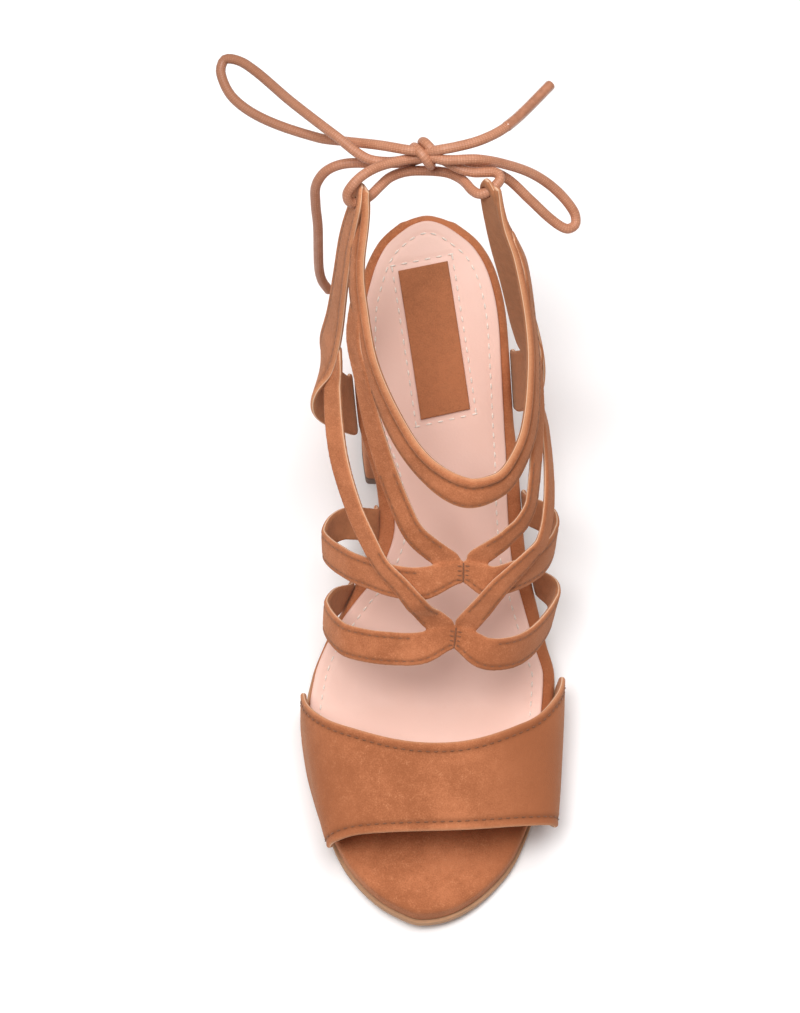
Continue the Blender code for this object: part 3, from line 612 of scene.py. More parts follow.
def through(rows, at):
    """A smooth curve through rows of numbers, the first three a place, at shares of its length."""
    rows = np.array(rows, float)
    knots = run_length(rows[:, :3])
    last = len(rows) - 1
    before = np.maximum(np.arange(last + 1) - 1, 0)
    after = np.minimum(np.arange(last + 1) + 1, last)
    slope = (rows[after] - rows[before]) / (knots[after] - knots[before])[:, None]
    s = np.asarray(at, float) * knots[-1]
    i = np.clip(np.searchsorted(knots, s, side="right") - 1, 0, last - 1)
    h = (knots[i + 1] - knots[i])[:, None]
    t = (s - knots[i])[:, None] / h
    return hermite(t, h, rows[i], rows[i + 1], slope[i], slope[i + 1])


# Making meshes


def place(points):
    """Millimetre points in the frame of the solids, in metres."""
    return (np.asarray(points, float) - (0.0, ORIGIN_FROM_TOE, 0.0)) * MM


def unplace(points):
    """Metre points in the frame of the solids, back in millimetres from the toe."""
    return points / MM + (0.0, ORIGIN_FROM_TOE, 0.0)


def linked(name, data):
    """A new object in the scene."""
    made = bpy.data.objects.new(name, data)
    bpy.context.scene.collection.objects.link(made)
    return made


def smooth(mesh):
    mesh.polygons.foreach_set("use_smooth", [True] * len(mesh.polygons))


def mark(mesh, key, numbers):
    """Keeps a number on each point of a mesh, for the materials."""
    mesh.attributes.new(key, "FLOAT", "POINT").data.foreach_set("value", np.asarray(numbers, np.float32))


def read_points(mesh, key, kind=float):
    """The places ("co") or normals ("normal") of a mesh's points."""
    numbers = np.empty(len(mesh.vertices) * 3, kind)
    mesh.vertices.foreach_get(key, numbers)
    return numbers.reshape(-1, 3)


def outward(mesh, weld=False):
    """Turns a mesh's faces outward and shades it smooth, after closing up points that coincide if asked to."""
    work = bmesh.new()
    work.from_mesh(mesh)
    if weld:
        bmesh.ops.remove_doubles(work, verts=work.verts, dist=1e-7)
        bmesh.ops.dissolve_degenerate(work, edges=work.edges, dist=1e-8)
    bmesh.ops.recalc_face_normals(work, faces=work.faces)
    work.to_mesh(mesh)
    work.free()
    smooth(mesh)


def make(name, points, faces, material, values=None, weld=False):
    """A smooth mesh object; values are named numbers kept on its points for the materials."""
    mesh = bpy.data.meshes.new(name)
    mesh.from_pydata(place(points).tolist(), [], [list(map(int, f)) for f in faces])
    outward(mesh, weld)
    for key, numbers in (values or {}).items():
        mark(mesh, key, numbers)
    mesh.materials.append(material)
    return linked(name, mesh)


def settle(obj, slot, *nodes):
    """Lets a finished piece ride on the shoe and stand for its solids, which are hidden; slot is not used."""
    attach(obj, "root")
    if nodes:
        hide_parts(*nodes)


def evaluated(obj):
    graph = bpy.context.evaluated_depsgraph_get()
    return bpy.data.meshes.new_from_object(obj.evaluated_get(graph))


def keep_result(obj, modifier):
    """Gives an object the mesh that its modifier makes, and takes the modifier off."""
    mesh = evaluated(obj)
    obj.modifiers.remove(modifier)
    obj.data = mesh
    return mesh


def ring_faces(rings, around):
    """Faces between closed rings of points, with a cap at each end."""
    k, i = np.meshgrid(np.arange(rings - 1), np.arange(around), indexing="ij")
    j = (i + 1) % around
    corners = [k * around + i, k * around + j, (k + 1) * around + j, (k + 1) * around + i]
    faces = np.stack(corners, axis=-1).reshape(-1, 4).tolist()
    faces.append(list(range(around))[::-1])
    faces.append(list(range((rings - 1) * around, rings * around)))
    return faces


def grid_faces(rows, columns):
    k, i = np.meshgrid(np.arange(rows - 1), np.arange(columns - 1), indexing="ij")
    a = k * columns + i
    return np.stack([a, a + 1, a + columns + 1, a + columns], axis=-1).reshape(-1, 4)


def grid_normals(grid):
    """Normals of a grid of points, turned away from the foot's core."""
    n = unit(np.cross(np.gradient(grid, axis=0), np.gradient(grid, axis=1)))
    out = away_from_core(grid.reshape(-1, 3)).reshape(grid.shape)
    return n * np.where((n * out).sum(-1) < 0, -1.0, 1.0)[..., None]


def edge_distance(grid):
    """Distance of each point of a grid from the nearest of its four edges, mm."""
    along = run_length(grid)
    across = run_length(grid.swapaxes(0, 1)).T
    return np.minimum(np.minimum(across, across[:, -1:] - across), np.minimum(along, along[-1:] - along))


def shell(grid, thickness, proud=None, rounding=1.0):
    """A leather piece from the grid of its middle surface: points, faces and values, with rounded edges.

    proud is how far the outside stands over its plain place at each point, in mm.
    """
    rows, columns = grid.shape[:2]
    normal = grid_normals(grid)
    d = edge_distance(grid)
    half = thickness / 2 * np.sqrt(1 - (1 - np.clip(d / rounding, 0, 1)) ** 2)
    rise = np.zeros_like(d) if proud is None else proud * np.clip(d / rounding, 0, 1)
    outer = grid + normal * (half + rise)[..., None]
    inner = grid - normal * half[..., None]
    number = np.arange(rows * columns).reshape(rows, columns)
    rim = np.zeros((rows, columns), bool)
    rim[0] = rim[-1] = rim[:, 0] = rim[:, -1] = True
    below = np.full((rows, columns), -1)
    below[~rim] = rows * columns + np.arange((~rim).sum())
    below[rim] = number[rim]
    points = np.concatenate([outer.reshape(-1, 3), inner[~rim]])
    faces = grid_faces(rows, columns)
    under = below.reshape(-1)[faces][:, ::-1]
    near = np.exp(-((d / RIM_REACH) ** 2))
    values = {
        "inner": np.concatenate([np.where(rim, 0.5, 0.0).reshape(-1), np.ones((~rim).sum())]),
        "rim": np.concatenate([near.reshape(-1), near[~rim]]),
    }
    return points, np.concatenate([faces, under]), values


def edge_stations(width, near, middle):
    """Places across a piece, close together at its edges: distances near an edge, and a count between."""
    near = np.array(near)
    between = np.linspace(near[-1], width - near[-1], middle + 2)[1:-1]
    return np.concatenate([near, between, width - near[::-1]])


def spread(columns):
    """Shares across a strap, from -0.5 to 0.5, close together at its edges."""
    return -np.cos(np.linspace(0, math.pi, columns)) / 2


class Strip:
    """The middle line of a strap, with its run, its facing and its width at equal steps."""

    def __init__(self, rows, count):
        line = through([(*p, w, *f, t) for p, w, f, t in rows], np.linspace(0, 1, count))
        self.middle = line[:, :3]
        self.width = line[:, 3]
        self.run = unit(np.gradient(self.middle, axis=0))
        across = unit(np.cross(self.run, line[:, 4:7]))
        turn = np.radians(line[:, 7:])
        self.across = across * np.cos(turn) - np.cross(across, self.run) * np.sin(turn)
        self.facing = np.cross(self.across, self.run)
        self.length = run_length(self.middle)

    def part(self, first, last):
        """The strip between two distances along it."""
        made = object.__new__(Strip)
        keep = (self.length >= first - 1e-6) & (self.length <= last + 1e-6)
        for key in ("middle", "width", "run", "across", "facing", "length"):
            setattr(made, key, getattr(self, key)[keep])
        made.length = made.length - made.length[0]
        return made

    def round_end(self, at_start, radius, least):
        """Narrows one end to a rounded tip."""
        d = self.length if at_start else self.length[-1] - self.length
        share = np.clip(d / radius, 0, 1)
        self.width = self.width * (least + (1 - least) * np.sqrt(1 - (1 - share) ** 2))

    def grid(self, columns):
        u = spread(columns)
        return self.middle[:, None] + self.across[:, None] * (u[None, :] * self.width[:, None])[..., None]

    def offset(self, inset, side, first, last):
        """A line inside one edge of the strip, between two distances along it: its points and facings."""
        keep = (self.length >= first) & (self.length <= last)
        move = side * (self.width / 2 - inset)
        return (self.middle + self.across * move[:, None])[keep], self.facing[keep]


def strap_rows(table):
    """Rows of a strap: its place, width, facing and twist."""
    rows = np.array([(*row, 0.0)[:5] for row in table])
    along = rows[:, 1] * LENGTH / 100
    up = bed_height(along) + rows[:, 2] * INSTEP / 100
    points = np.stack([rows[:, 0] * BALL_WIDTH / 100, along, up], axis=-1)
    return list(zip(points, rows[:, 3], away_from_core(points), rows[:, 4]))


def sole_rows(side, station, width, thickness):
    """Two rows that stand a strap's end against the sole's edge, lowest first."""
    turn = turn_of(station * LENGTH / 100)
    out = np.append(outline_normal(turn, side)[0], 0.0)
    spot = edge(turn, side, GAP + thickness / 2)[0]
    low = bed_point(spot[0], spot[1], BOARD - FOOT_RAISE)[0]
    high = bed_point(spot[0], spot[1], 0.0)[0] + out * FOOT_LEAN
    return [(low, width, out, 0.0), (high, width, out, 0.0)]


class Skin:
    """The finished surface of a piece, for laying stitches on it."""

    def __init__(self, obj):
        self.obj = obj
        self.rows = []
        self.tree = BVHTree.FromObject(obj, bpy.context.evaluated_depsgraph_get())

    def lay(self, points, facing):
        """A row of stitches at points in mm, dropped on the surface along their facings."""
        row = []
        for p, f in zip(place(points), np.atleast_2d(facing)):
            start = Vector(p + f * DROP_FROM)
            spot, normal, _, _ = self.tree.ray_cast(start, Vector(-f), DROP_REACH)
            if spot is not None:
                row.append((spot, normal))
        if len(row) > 2:
            self.rows.append(row)

    def press(self, depth, reach):
        """Draws the surface in along its rows, and marks the seams."""
        spots = [spot for row in self.rows for spot, _ in row]
        tree = KDTree(len(spots))
        for i, spot in enumerate(spots):
            tree.insert(spot, i)
        tree.balance()
        mesh = self.obj.data
        co = read_points(mesh, "co")
        normal = read_points(mesh, "normal", np.float32)
        facing = np.array([list(n) for row in self.rows for _, n in row])
        seam = np.zeros(len(co), np.float32)
        for k in range(len(co)):
            _, i, d = tree.find(co[k])
            if d < 3 * reach and normal[k] @ facing[i] > 0.2:
                seam[k] = math.exp(-((d / reach) ** 2))
        co -= normal * (depth * seam)[:, None]
        mesh.vertices.foreach_set("co", co.reshape(-1))
        mark(mesh, "seam", seam)
        mesh.update()

    def sew(self, name, pitch, length, width, thread, slot, sunk=0.0):
        """Stitches along the rows, as one mesh."""
        points = []
        edges = []
        for row in self.rows:
            first = len(points)
            for spot, normal in row:
                points.append(spot - normal * (width * 0.1 + sunk))
            edges += [(i, i + 1) for i in range(first, len(points) - 1)]
        mesh = bpy.data.meshes.new(name)
        mesh.from_pydata(points, edges, [])
        made = linked(name, mesh)
        tree, sockets = stitch_tree()
        sewn = made.modifiers.new("stitches", "NODES")
        sewn.node_group = tree
        for key, value in (("Pitch", pitch), ("Length", length), ("Width", width), ("Thread", thread)):
            sewn[sockets[key]] = value
        smooth(keep_result(made, sewn))
        settle(made, slot)

    def finish_strap(self, sizes, node, stitches, reach, depth, sunk):
        """Presses in the rows of a suede strap, hands it over for its solid, and sews its stitches."""
        self.press(depth, reach)
        settle(self.obj, "tan_suede", node)
        stitch = (sizes.stitch_pitch, sizes.stitch_length, sizes.stitch_width)
        self.sew(stitches, *stitch, look("thread"), "tan_suede", sunk)


STITCH_NODES = {
    "given": "NodeGroupInput",
    "line": "GeometryNodeMeshToCurve",
    "spots": "GeometryNodeCurveToPoints",
    "bead": "GeometryNodeMeshUVSphere",
    "size": "ShaderNodeCombineXYZ",
    "shape": "GeometryNodeTransform",
    "turn": "FunctionNodeAlignRotationToVector",
    "each": "GeometryNodeInstanceOnPoints",
    "real": "GeometryNodeRealizeInstances",
    "dress": "GeometryNodeSetMaterial",
    "out": "NodeGroupOutput",
}
STITCH_LINKS = [
    ("given", "Geometry", "line", "Mesh"),
    ("line", "Curve", "spots", "Curve"),
    ("given", "Pitch", "spots", "Length"),
    ("given", "Width", "size", "X"),
    ("given", "Width", "size", "Y"),
    ("given", "Length", "size", "Z"),
    ("bead", "Mesh", "shape", "Geometry"),
    ("size", "Vector", "shape", "Scale"),
    ("spots", "Tangent", "turn", "Vector"),
    ("spots", "Points", "each", "Points"),
    ("shape", "Geometry", "each", "Instance"),
    ("turn", "Rotation", "each", "Rotation"),
    ("each", "Instances", "real", "Geometry"),
    ("real", "Geometry", "dress", "Geometry"),
    ("given", "Thread", "dress", "Material"),
    ("dress", "Geometry", "out", "Geometry"),
]


def stitch_tree():
    """Geometry nodes that lay a stitch at every pitch along a line, and their inputs' identifiers."""
    found = bpy.data.node_groups.get("stitch_row")
    if found is None:
        found = bpy.data.node_groups.new("stitch_row", "GeometryNodeTree")
        face = found.interface
        face.new_socket("Geometry", in_out="INPUT", socket_type="NodeSocketGeometry")
        for key in ("Pitch", "Length", "Width"):
            face.new_socket(key, in_out="INPUT", socket_type="NodeSocketFloat")
        face.new_socket("Thread", in_out="INPUT", socket_type="NodeSocketMaterial")
        face.new_socket("Geometry", in_out="OUTPUT", socket_type="NodeSocketGeometry")
        nodes = {key: found.nodes.new(kind) for key, kind in STITCH_NODES.items()}
        nodes["spots"].mode = "LENGTH"
        nodes["turn"].axis = "Z"
        for key, value in (("Segments", 8), ("Rings", 6), ("Radius", 0.5)):
            nodes["bead"].inputs[key].default_value = value
        for source, output, target, socket in STITCH_LINKS:
            found.links.new(nodes[source].outputs[output], nodes[target].inputs[socket])
    sockets = {s.name: s.identifier for s in found.interface.items_tree if s.in_out == "INPUT"}
    return found, sockets


# Materials


class Value:
    """A shader socket that sums can be written with."""

    def __init__(self, finish, socket):
        self.finish = finish
        self.socket = socket

    def math(self, how, a, b=None):
        return self.finish.node("ShaderNodeMath", {"operation": how}, {0: a} if b is None else {0: a, 1: b})

    def __add__(self, other):
        return self.math("ADD", self, other)

    __radd__ = __add__

    def __sub__(self, other):
        return self.math("SUBTRACT", self, other)

    def __rsub__(self, other):
        return self.math("SUBTRACT", other, self)

    def __mul__(self, other):
        return self.math("MULTIPLY", self, other)

    __rmul__ = __mul__

    def sine(self):
        return self.math("SINE", self)

    def between(self, low, high):
        """0 under low, 1 over high, eased between."""
        return self.finish.node(
            "ShaderNodeMapRange",
            {"interpolation_type": "SMOOTHSTEP"},
            {"Value": self, "From Min": low, "From Max": high, "To Min": 0.0, "To Max": 1.0},
        )


class Finish:
    """A material with one Principled shader."""

    def __init__(self, name, **fixed):
        self.material = bpy.data.materials.new(name)
        self.material.use_nodes = True
        self.nodes = self.material.node_tree.nodes
        self.links = self.material.node_tree.links
        self.shader = self.nodes["Principled BSDF"]
        for key, value in fixed.items():
            self.shader.inputs[key.replace("_", " ").title().replace("Ior", "IOR")].default_value = value
        self.place = self.node("ShaderNodeTexCoord", {}, {}, "Object")

    def node(self, kind, settings, sockets, output=0):
        made = self.nodes.new(kind)
        for key, value in settings.items():
            setattr(made, key, value)
        for key, value in sockets.items():
            self.feed(made.inputs[key], value)
        return Value(self, made.outputs[output])

    def feed(self, socket, value):
        if isinstance(value, Value):
            self.links.new(value.socket, socket)
        else:
            socket.default_value = value

    def noise(self, scale, detail, rough, at=None, twist=0.0):
        return self.node(
            "ShaderNodeTexNoise",
            {},
            {"Vector": at or self.place, "Scale": scale, "Detail": detail, "Roughness": rough, "Distortion": twist},
        )

    def split(self, vector):
        """The first two parts of a vector."""
        parts = self.node("ShaderNodeSeparateXYZ", {}, {"Vector": vector}, "X").socket.node
        return Value(self, parts.outputs["X"]), Value(self, parts.outputs["Y"])

    def attribute(self, name):
        return self.node("ShaderNodeAttribute", {"attribute_name": name}, {}, "Fac")

    def mix(self, share, a, b):
        a = (*a, 1.0) if isinstance(a, tuple) else a
        b = (*b, 1.0) if isinstance(b, tuple) else b
        return self.node("ShaderNodeMix", {"data_type": "RGBA"}, {0: share, 6: a, 7: b}, 2)

    def bump(self, height, strength, distance):
        sockets = {"Strength": strength, "Distance": distance, "Height": height}
        self.set("Normal", self.node("ShaderNodeBump", {}, sockets))

    def set(self, socket, value):
        self.feed(self.shader.inputs[socket], value)


def scaled(tone, *by):
    """A colour multiplied by one number, or by one for each of its parts."""
    return tuple(v * k for v, k in zip(tone, by * 3 if len(by) == 1 else by))


def suede(name, tone, dark, lit, inside=None, raw=None):
    """Brushed suede: patches where the nap lies differently, a short pile, paler edges that are part wear and part
    painted highlight, and painted shade on the lateral side and at the medial turn.
    """
    f = Finish(
        name,
        sheen_weight=0.22,
        sheen_roughness=0.45,
        sheen_tint=(1.0, 0.72, 0.5, 1.0),
        specular_ior_level=0.15,
    )
    brushed = f.noise(26.0, 2.0, 0.5, twist=0.8)
    patches = f.noise(90.0, 3.0, 0.55, twist=0.3)
    nap = f.noise(420.0, 4.0, 0.62)
    pile = f.noise(2100.0, 3.0, 0.65)
    x, y = f.split(f.place)
    tone_share = 0.55 + (brushed - 0.5) * 1.25 + (patches - 0.5) * 0.8 + (nap - 0.5) * 0.6 + (pile - 0.5) * 1.3
    base = f.mix(tone_share.between(0.1, 0.95), dark, tone)
    base = f.mix((pile + nap).between(1.05, 1.5) * 0.34, base, lit)
    # painted shade: darker on the lateral side and at the medial turn, where less of the light falls
    front = (-1.0 * y).between(-0.012, 0.008)
    side = x.between(0.005, 0.04) * (0.5 + front * 0.4) + (-1.0 * x).between(0.02, 0.044) * front * 0.5
    base = f.mix(side, base, dark)
    if inside:
        # paler edges: part wear, part painted highlight
        rim = f.attribute("rim")
        base = f.mix(rim * (0.35 + pile * 0.4), base, lit)
        inner = f.attribute("inner")
        lined = f.mix(nap.between(0.3, 0.7), scaled(inside, 0.85), inside)
        base = f.mix(inner.between(0.45, 0.62), base, lined)
        cut = inner.between(0.25, 0.45) - inner.between(0.62, 0.85)
        base = f.mix(cut * rim * 0.7, base, raw)
        # painted shade and brushed nap on the toe band
        base = f.mix(f.attribute("brush"), base, dark)
        # painted shade in the pressed stitch grooves
        base = f.mix(f.attribute("seam") * 0.5, base, scaled(dark, 0.45))
    f.set("Base Color", base)
    f.set("Roughness", 0.82 + nap * 0.16)
    f.bump(pile * 0.8 + nap * 0.6 + patches * 0.5, 0.55, 0.0005)
    return f.material


def smooth_lining(name, tone):
    """The sock: thin, smooth leather with a fine grain."""
    f = Finish(name, specular_ior_level=0.35)
    cells = {"Vector": f.place, "Scale": 1300.0}
    grain = f.node("ShaderNodeTexVoronoi", {"feature": "SMOOTH_F1"}, cells, "Distance")
    soft = f.noise(30.0, 3.0, 0.5)
    rub = f.noise(420.0, 3.0, 0.6)
    base = f.mix(soft.between(0.3, 0.7), scaled(tone, 0.97, 0.94, 0.92), tone)
    base = f.mix(rub.between(0.62, 0.8) * 0.25, base, scaled(tone, 0.95, 0.88, 0.84))
    f.set("Base Color", base)
    f.set("Roughness", 0.42 + rub * 0.2)
    f.bump(grain * 0.5 + rub * 0.3, 0.18, 0.0003)
    return f.material


def moulded(name, tone, streak, roughness):
    """Cut sole rubber, with faint streaks along its edge."""
    f = Finish(name, specular_ior_level=0.3)
    stretch = {"Vector": f.place, "Scale": (0.25, 0.12, 3.0)}
    bands = f.noise(420.0, 4.0, 0.6, at=f.node("ShaderNodeMapping", {"vector_type": "POINT"}, stretch))
    specks = f.noise(900.0, 2.0, 0.5)
    base = f.mix((bands * 0.7 + specks * 0.3).between(0.3, 0.7), streak, tone)
    f.set("Base Color", base)
    f.set("Roughness", roughness + (specks - 0.5) * 0.2)
    f.bump(bands * 0.6 + specks * 0.4, 0.3, 0.0004)
    return f.material


def waxed_cord(name, tone):
    """A braided lace under wax: the strands cross along the cord's own map."""
    f = Finish(name, specular_ior_level=0.45, coat_roughness=0.35)
    around, along = f.split(f.node("ShaderNodeUVMap", {"uv_map": "cord"}, {}))
    left = ((around * 8.0 + along * 1.9) * (2 * math.pi)).sine()
    right = ((around * 8.0 - along * 1.9) * (2 * math.pi)).sine()
    braid = (left * right).between(-0.8, 0.8)
    wear = f.noise(160.0, 3.0, 0.6)
    fuzz = f.noise(2200.0, 2.0, 0.6)
    specks = f.noise(1300.0, 2.0, 0.5)
    dark = scaled(tone, 0.62)
    light = tuple(min(1.0, v) for v in scaled(tone, 1.5, 1.75, 2.0))
    base = f.mix(wear.between(0.3, 0.72) * 0.3, tone, light)
    # painted shade where the braid's strands dip, and a painted glint of pale specks on their crowns
    base = f.mix((1 - braid) * 0.32, base, dark)
    base = f.mix(braid.between(0.55, 0.95) * specks.between(0.45, 0.62) * 0.6, base, light)
    # painted shade: the lace is darker towards its medial loop and end, which lie on the side that gets less light
    x, _ = f.split(f.place)
    base = f.mix((-1.0 * x).between(0.018, 0.06) * 0.7, base, dark)
    f.set("Base Color", base)
    f.set("Roughness", 0.5 + (fuzz - 0.5) * 0.25)
    f.set("Coat Weight", wear.between(0.45, 0.75) * 0.3)
    f.bump(braid * 0.8 + fuzz * 0.25, 0.35, 0.0003)
    return f.material


def thread(name, tone):
    """Sewing thread with a fine twist."""
    f = Finish(name, sheen_weight=0.15, specular_ior_level=0.3)
    twist = f.noise(2600.0, 2.0, 0.5)
    f.set("Base Color", f.mix(twist.between(0.3, 0.7), scaled(tone, 0.7), tone))
    f.set("Roughness", 0.6 + twist * 0.15)
    f.bump(twist, 0.3, 0.0002)
    return f.material


def clear_film(name, tone):
    """The film shrunk on the lace's end, with the lace's colour showing through its gloss."""
    f = Finish(name, coat_weight=0.9, coat_roughness=0.12, specular_ior_level=0.5)
    smear = f.noise(500.0, 3.0, 0.6)
    f.set("Base Color", f.mix(smear.between(0.3, 0.7), scaled(tone, 0.75), tone))
    f.set("Roughness", 0.3 + smear * 0.15)
    return f.material


def painted(name, tone, spread_share):
    """The studio floor."""
    f = Finish(name, specular_ior_level=0.1)
    mottle = f.noise(6.0, 2.0, 0.5)
    f.set("Base Color", f.mix(mottle, scaled(tone, 1 - spread_share), tone))
    f.set("Roughness", 0.85 + (mottle - 0.5) * 0.1)
    return f.material


LOOKS = {}


def look(name):
    """A material of the shoe or its studio, made when it is first asked for."""
    if name not in LOOKS:
        chosen = bpy.context.scene.sandal_colours
        c = {key: tuple(getattr(chosen, key)) for key in SandalColours.__annotations__}
        tan = (c["suede"], c["suede_dark"], c["suede_lit"])
        patch = (c["patch"], scaled(c["patch"], 0.72), c["suede"])
        makers = {
            "tan_suede": lambda: suede("tan_suede_wrap", *tan),
            "strap_suede": lambda: suede("strap_suede", *tan, c["strap_lining"], c["raw_edge"]),
            "patch_suede": lambda: suede("patch_suede_nap", *patch),
            "pale_lining": lambda: smooth_lining("sock_leather", c["lining"]),
            "outsole_tan": lambda: moulded("outsole_edge_rubber", c["outsole"], scaled(c["outsole"], 0.78), 0.62),
            "lift_rubber": lambda: moulded("heel_lift_rubber", c["lift"], scaled(c["lift"], 0.7), 0.7),
            "waxed_lace": lambda: waxed_cord("waxed_lace_braid", c["lace"]),
            "thread": lambda: thread("tan_thread", c["thread"]),
            "sock_thread": lambda: thread("pale_thread", c["sock_thread"]),
            "aglet_film": lambda: clear_film("clear_aglet_film", c["lace"]),
            "floor": lambda: painted("pale_floor", (0.96, 0.945, 0.945), 0.015),
        }
        LOOKS[name] = makers[name]()
    return LOOKS[name]


# Pieces


def slab(turns, outs, top, bottom, corners, columns):
    """A layer of the sole between two depths: rings of points across it, with rounded edges.

    outs are the medial and lateral moves of the outline, and corners the radii at its top and bottom edges.
    """
    count = len(turns)
    outs = [np.broadcast_to(o, count) for o in outs]
    top = np.broadcast_to(top, count)
    bottom = np.broadcast_to(bottom, count)
    quarter = np.linspace(0, math.pi / 2, 6)
    profile = [(bottom, corners[1] * (1 - math.sin(a)), -corners[1] * (1 - math.cos(a))) for a in quarter]
    profile += [(top, corners[0] * (1 - math.cos(a)), corners[0] * (1 - math.sin(a))) for a in quarter]
    sides = []
    for side, out in zip((-1, 1), outs):
        half = []
        for level, inset, depth in profile:
            spot = edge(turns, side, out - inset)
            half.append(bed_point(spot[:, 0], spot[:, 1], level + depth))
        sides.append(np.stack(half, axis=1))
    left, right = sides
    a = edge(turns, -1, outs[0] - corners[0])
    b = edge(turns, 1, outs[1] - corners[0])
    # the two sides meet where the layer reaches the toe tip or the heel end
    for end in (0, -1):
        if turns[end] in (0.0, 1.0):
            left[end] = right[end] = (left[end] + right[end]) / 2
            a[end] = b[end] = (a[end] + b[end]) / 2
    across = []
    for u in np.linspace(0, 1, columns + 2)[1:-1]:
        spot = a + (b - a) * u
        across.append(bed_point(spot[:, 0], spot[:, 1], top))
    rings = np.concatenate([left, np.stack(across, axis=1), right[:, ::-1]], axis=1)
    return rings.reshape(-1, 3), ring_faces(count, rings.shape[1])


def curved_tube(name, route, radius, material, count, around=14):
    """A cord along a smooth route, with its own map; returns the object and its path in metres."""
    path = place(through(route, np.linspace(0, 1, count))[:, :3])
    tangent = unit(np.gradient(path, axis=0))
    normal = np.zeros_like(path)
    first = np.cross(tangent[0], (0.0, 0.0, 1.0))
    normal[0] = unit(first if np.linalg.norm(first) > 0.1 else np.cross(tangent[0], (1.0, 0.0, 0.0)))
    for k in range(1, count):
        normal[k] = unit(normal[k - 1] - tangent[k] * (normal[k - 1] @ tangent[k]))
    side = np.cross(tangent, normal)
    angles = np.linspace(0, 2 * math.pi, around, endpoint=False)
    rings = path[:, None] + radius * (
        normal[:, None] * np.cos(angles)[None, :, None] + side[:, None] * np.sin(angles)[None, :, None]
    )
    # each end closes over a rounded tip
    tips = []
    for end, sign in ((0, -1), (count - 1, 1)):
        for share in (0.45, 0.85):
            shrunk = path[end] + (rings[end] - path[end]) * math.sqrt(1 - share**2)
            tips.append(shrunk + tangent[end] * sign * radius * 0.5 * share)
    rings = np.concatenate([[tips[1]], [tips[0]], rings, [tips[2]], [tips[3]]])
    mesh = bpy.data.meshes.new(name)
    mesh.from_pydata(rings.reshape(-1, 3).tolist(), [], ring_faces(len(rings), around))
    reach = run_length(path) / (2 * radius)
    reach = np.concatenate([[reach[0]] * 2, reach, [reach[-1]] * 2])
    uv = mesh.uv_layers.new(name="cord").data
    for face in mesh.polygons:
        ks = [v // around for v in face.vertices]
        js = [v % around for v in face.vertices]
        wrap = max(js) - min(js) > around // 2 and len(js) == 4
        for loop, k, j in zip(face.loop_indices, ks, js):
            uv[loop].uv = ((j + around if wrap and j < around // 2 else j) / around, reach[k])
    outward(mesh)
    mesh.materials.append(material)
    return linked(name, mesh), path


class SANDAL_OT_stage(bpy.types.Operator):
    """Sets out the floor, the studio lights and the camera"""

    bl_idname = "sandal.stage"
    bl_label = "Studio"

    def execute(self, context):
        scene = context.scene
        corners = [(x * FLOOR_REACH, y * FLOOR_REACH, 0.0) for x, y in ((-1, -1), (1, -1), (1, 1), (-1, 1))]
        mesh = bpy.data.meshes.new("studio_floor")
        mesh.from_pydata(corners, [], [(0, 1, 2, 3)])
        mesh.materials.append(look("floor"))
        linked("studio_floor", mesh)

        world = bpy.data.worlds.new("studio_air")
        world.use_nodes = True
        air = world.node_tree.nodes["Background"]
        air.inputs["Color"].default_value = (1.0, 0.985, 0.975, 1.0)
        air.inputs["Strength"].default_value = AIR_LIGHT
        scene.world = world
        for name, spot, width, power in SOFT_BOXES:
            light = bpy.data.lights.new(name + "_softbox", "AREA")
            light.shape = "DISK"
            light.size = width
            light.energy = power
            lamp = linked(name + "_softbox", light)
            lamp.location = spot
            lamp.rotation_euler = (Vector(LIGHT_AIM) - Vector(spot)).to_track_quat("-Z", "Y").to_euler()

        lens = bpy.data.cameras.new("studio_camera")
        lens.sensor_fit = "VERTICAL"
        lens.sensor_height = 36.0
        lens.lens = CAMERA_LENS
        lens.clip_start = 0.05
        lens.clip_end = 20.0
        camera = linked("studio_camera", lens)
        camera.location = CAMERA_PLACE
        tilt = Euler((math.radians(CAMERA_TILT), 0.0, 0.0)).to_matrix()
        turn = Matrix.Rotation(math.radians(-CAMERA_TURN), 3, "Y")
        camera.rotation_euler = (tilt @ turn).to_euler()
        scene.camera = camera
        scene.view_settings.view_transform = "Standard"
        return {"FINISHED"}


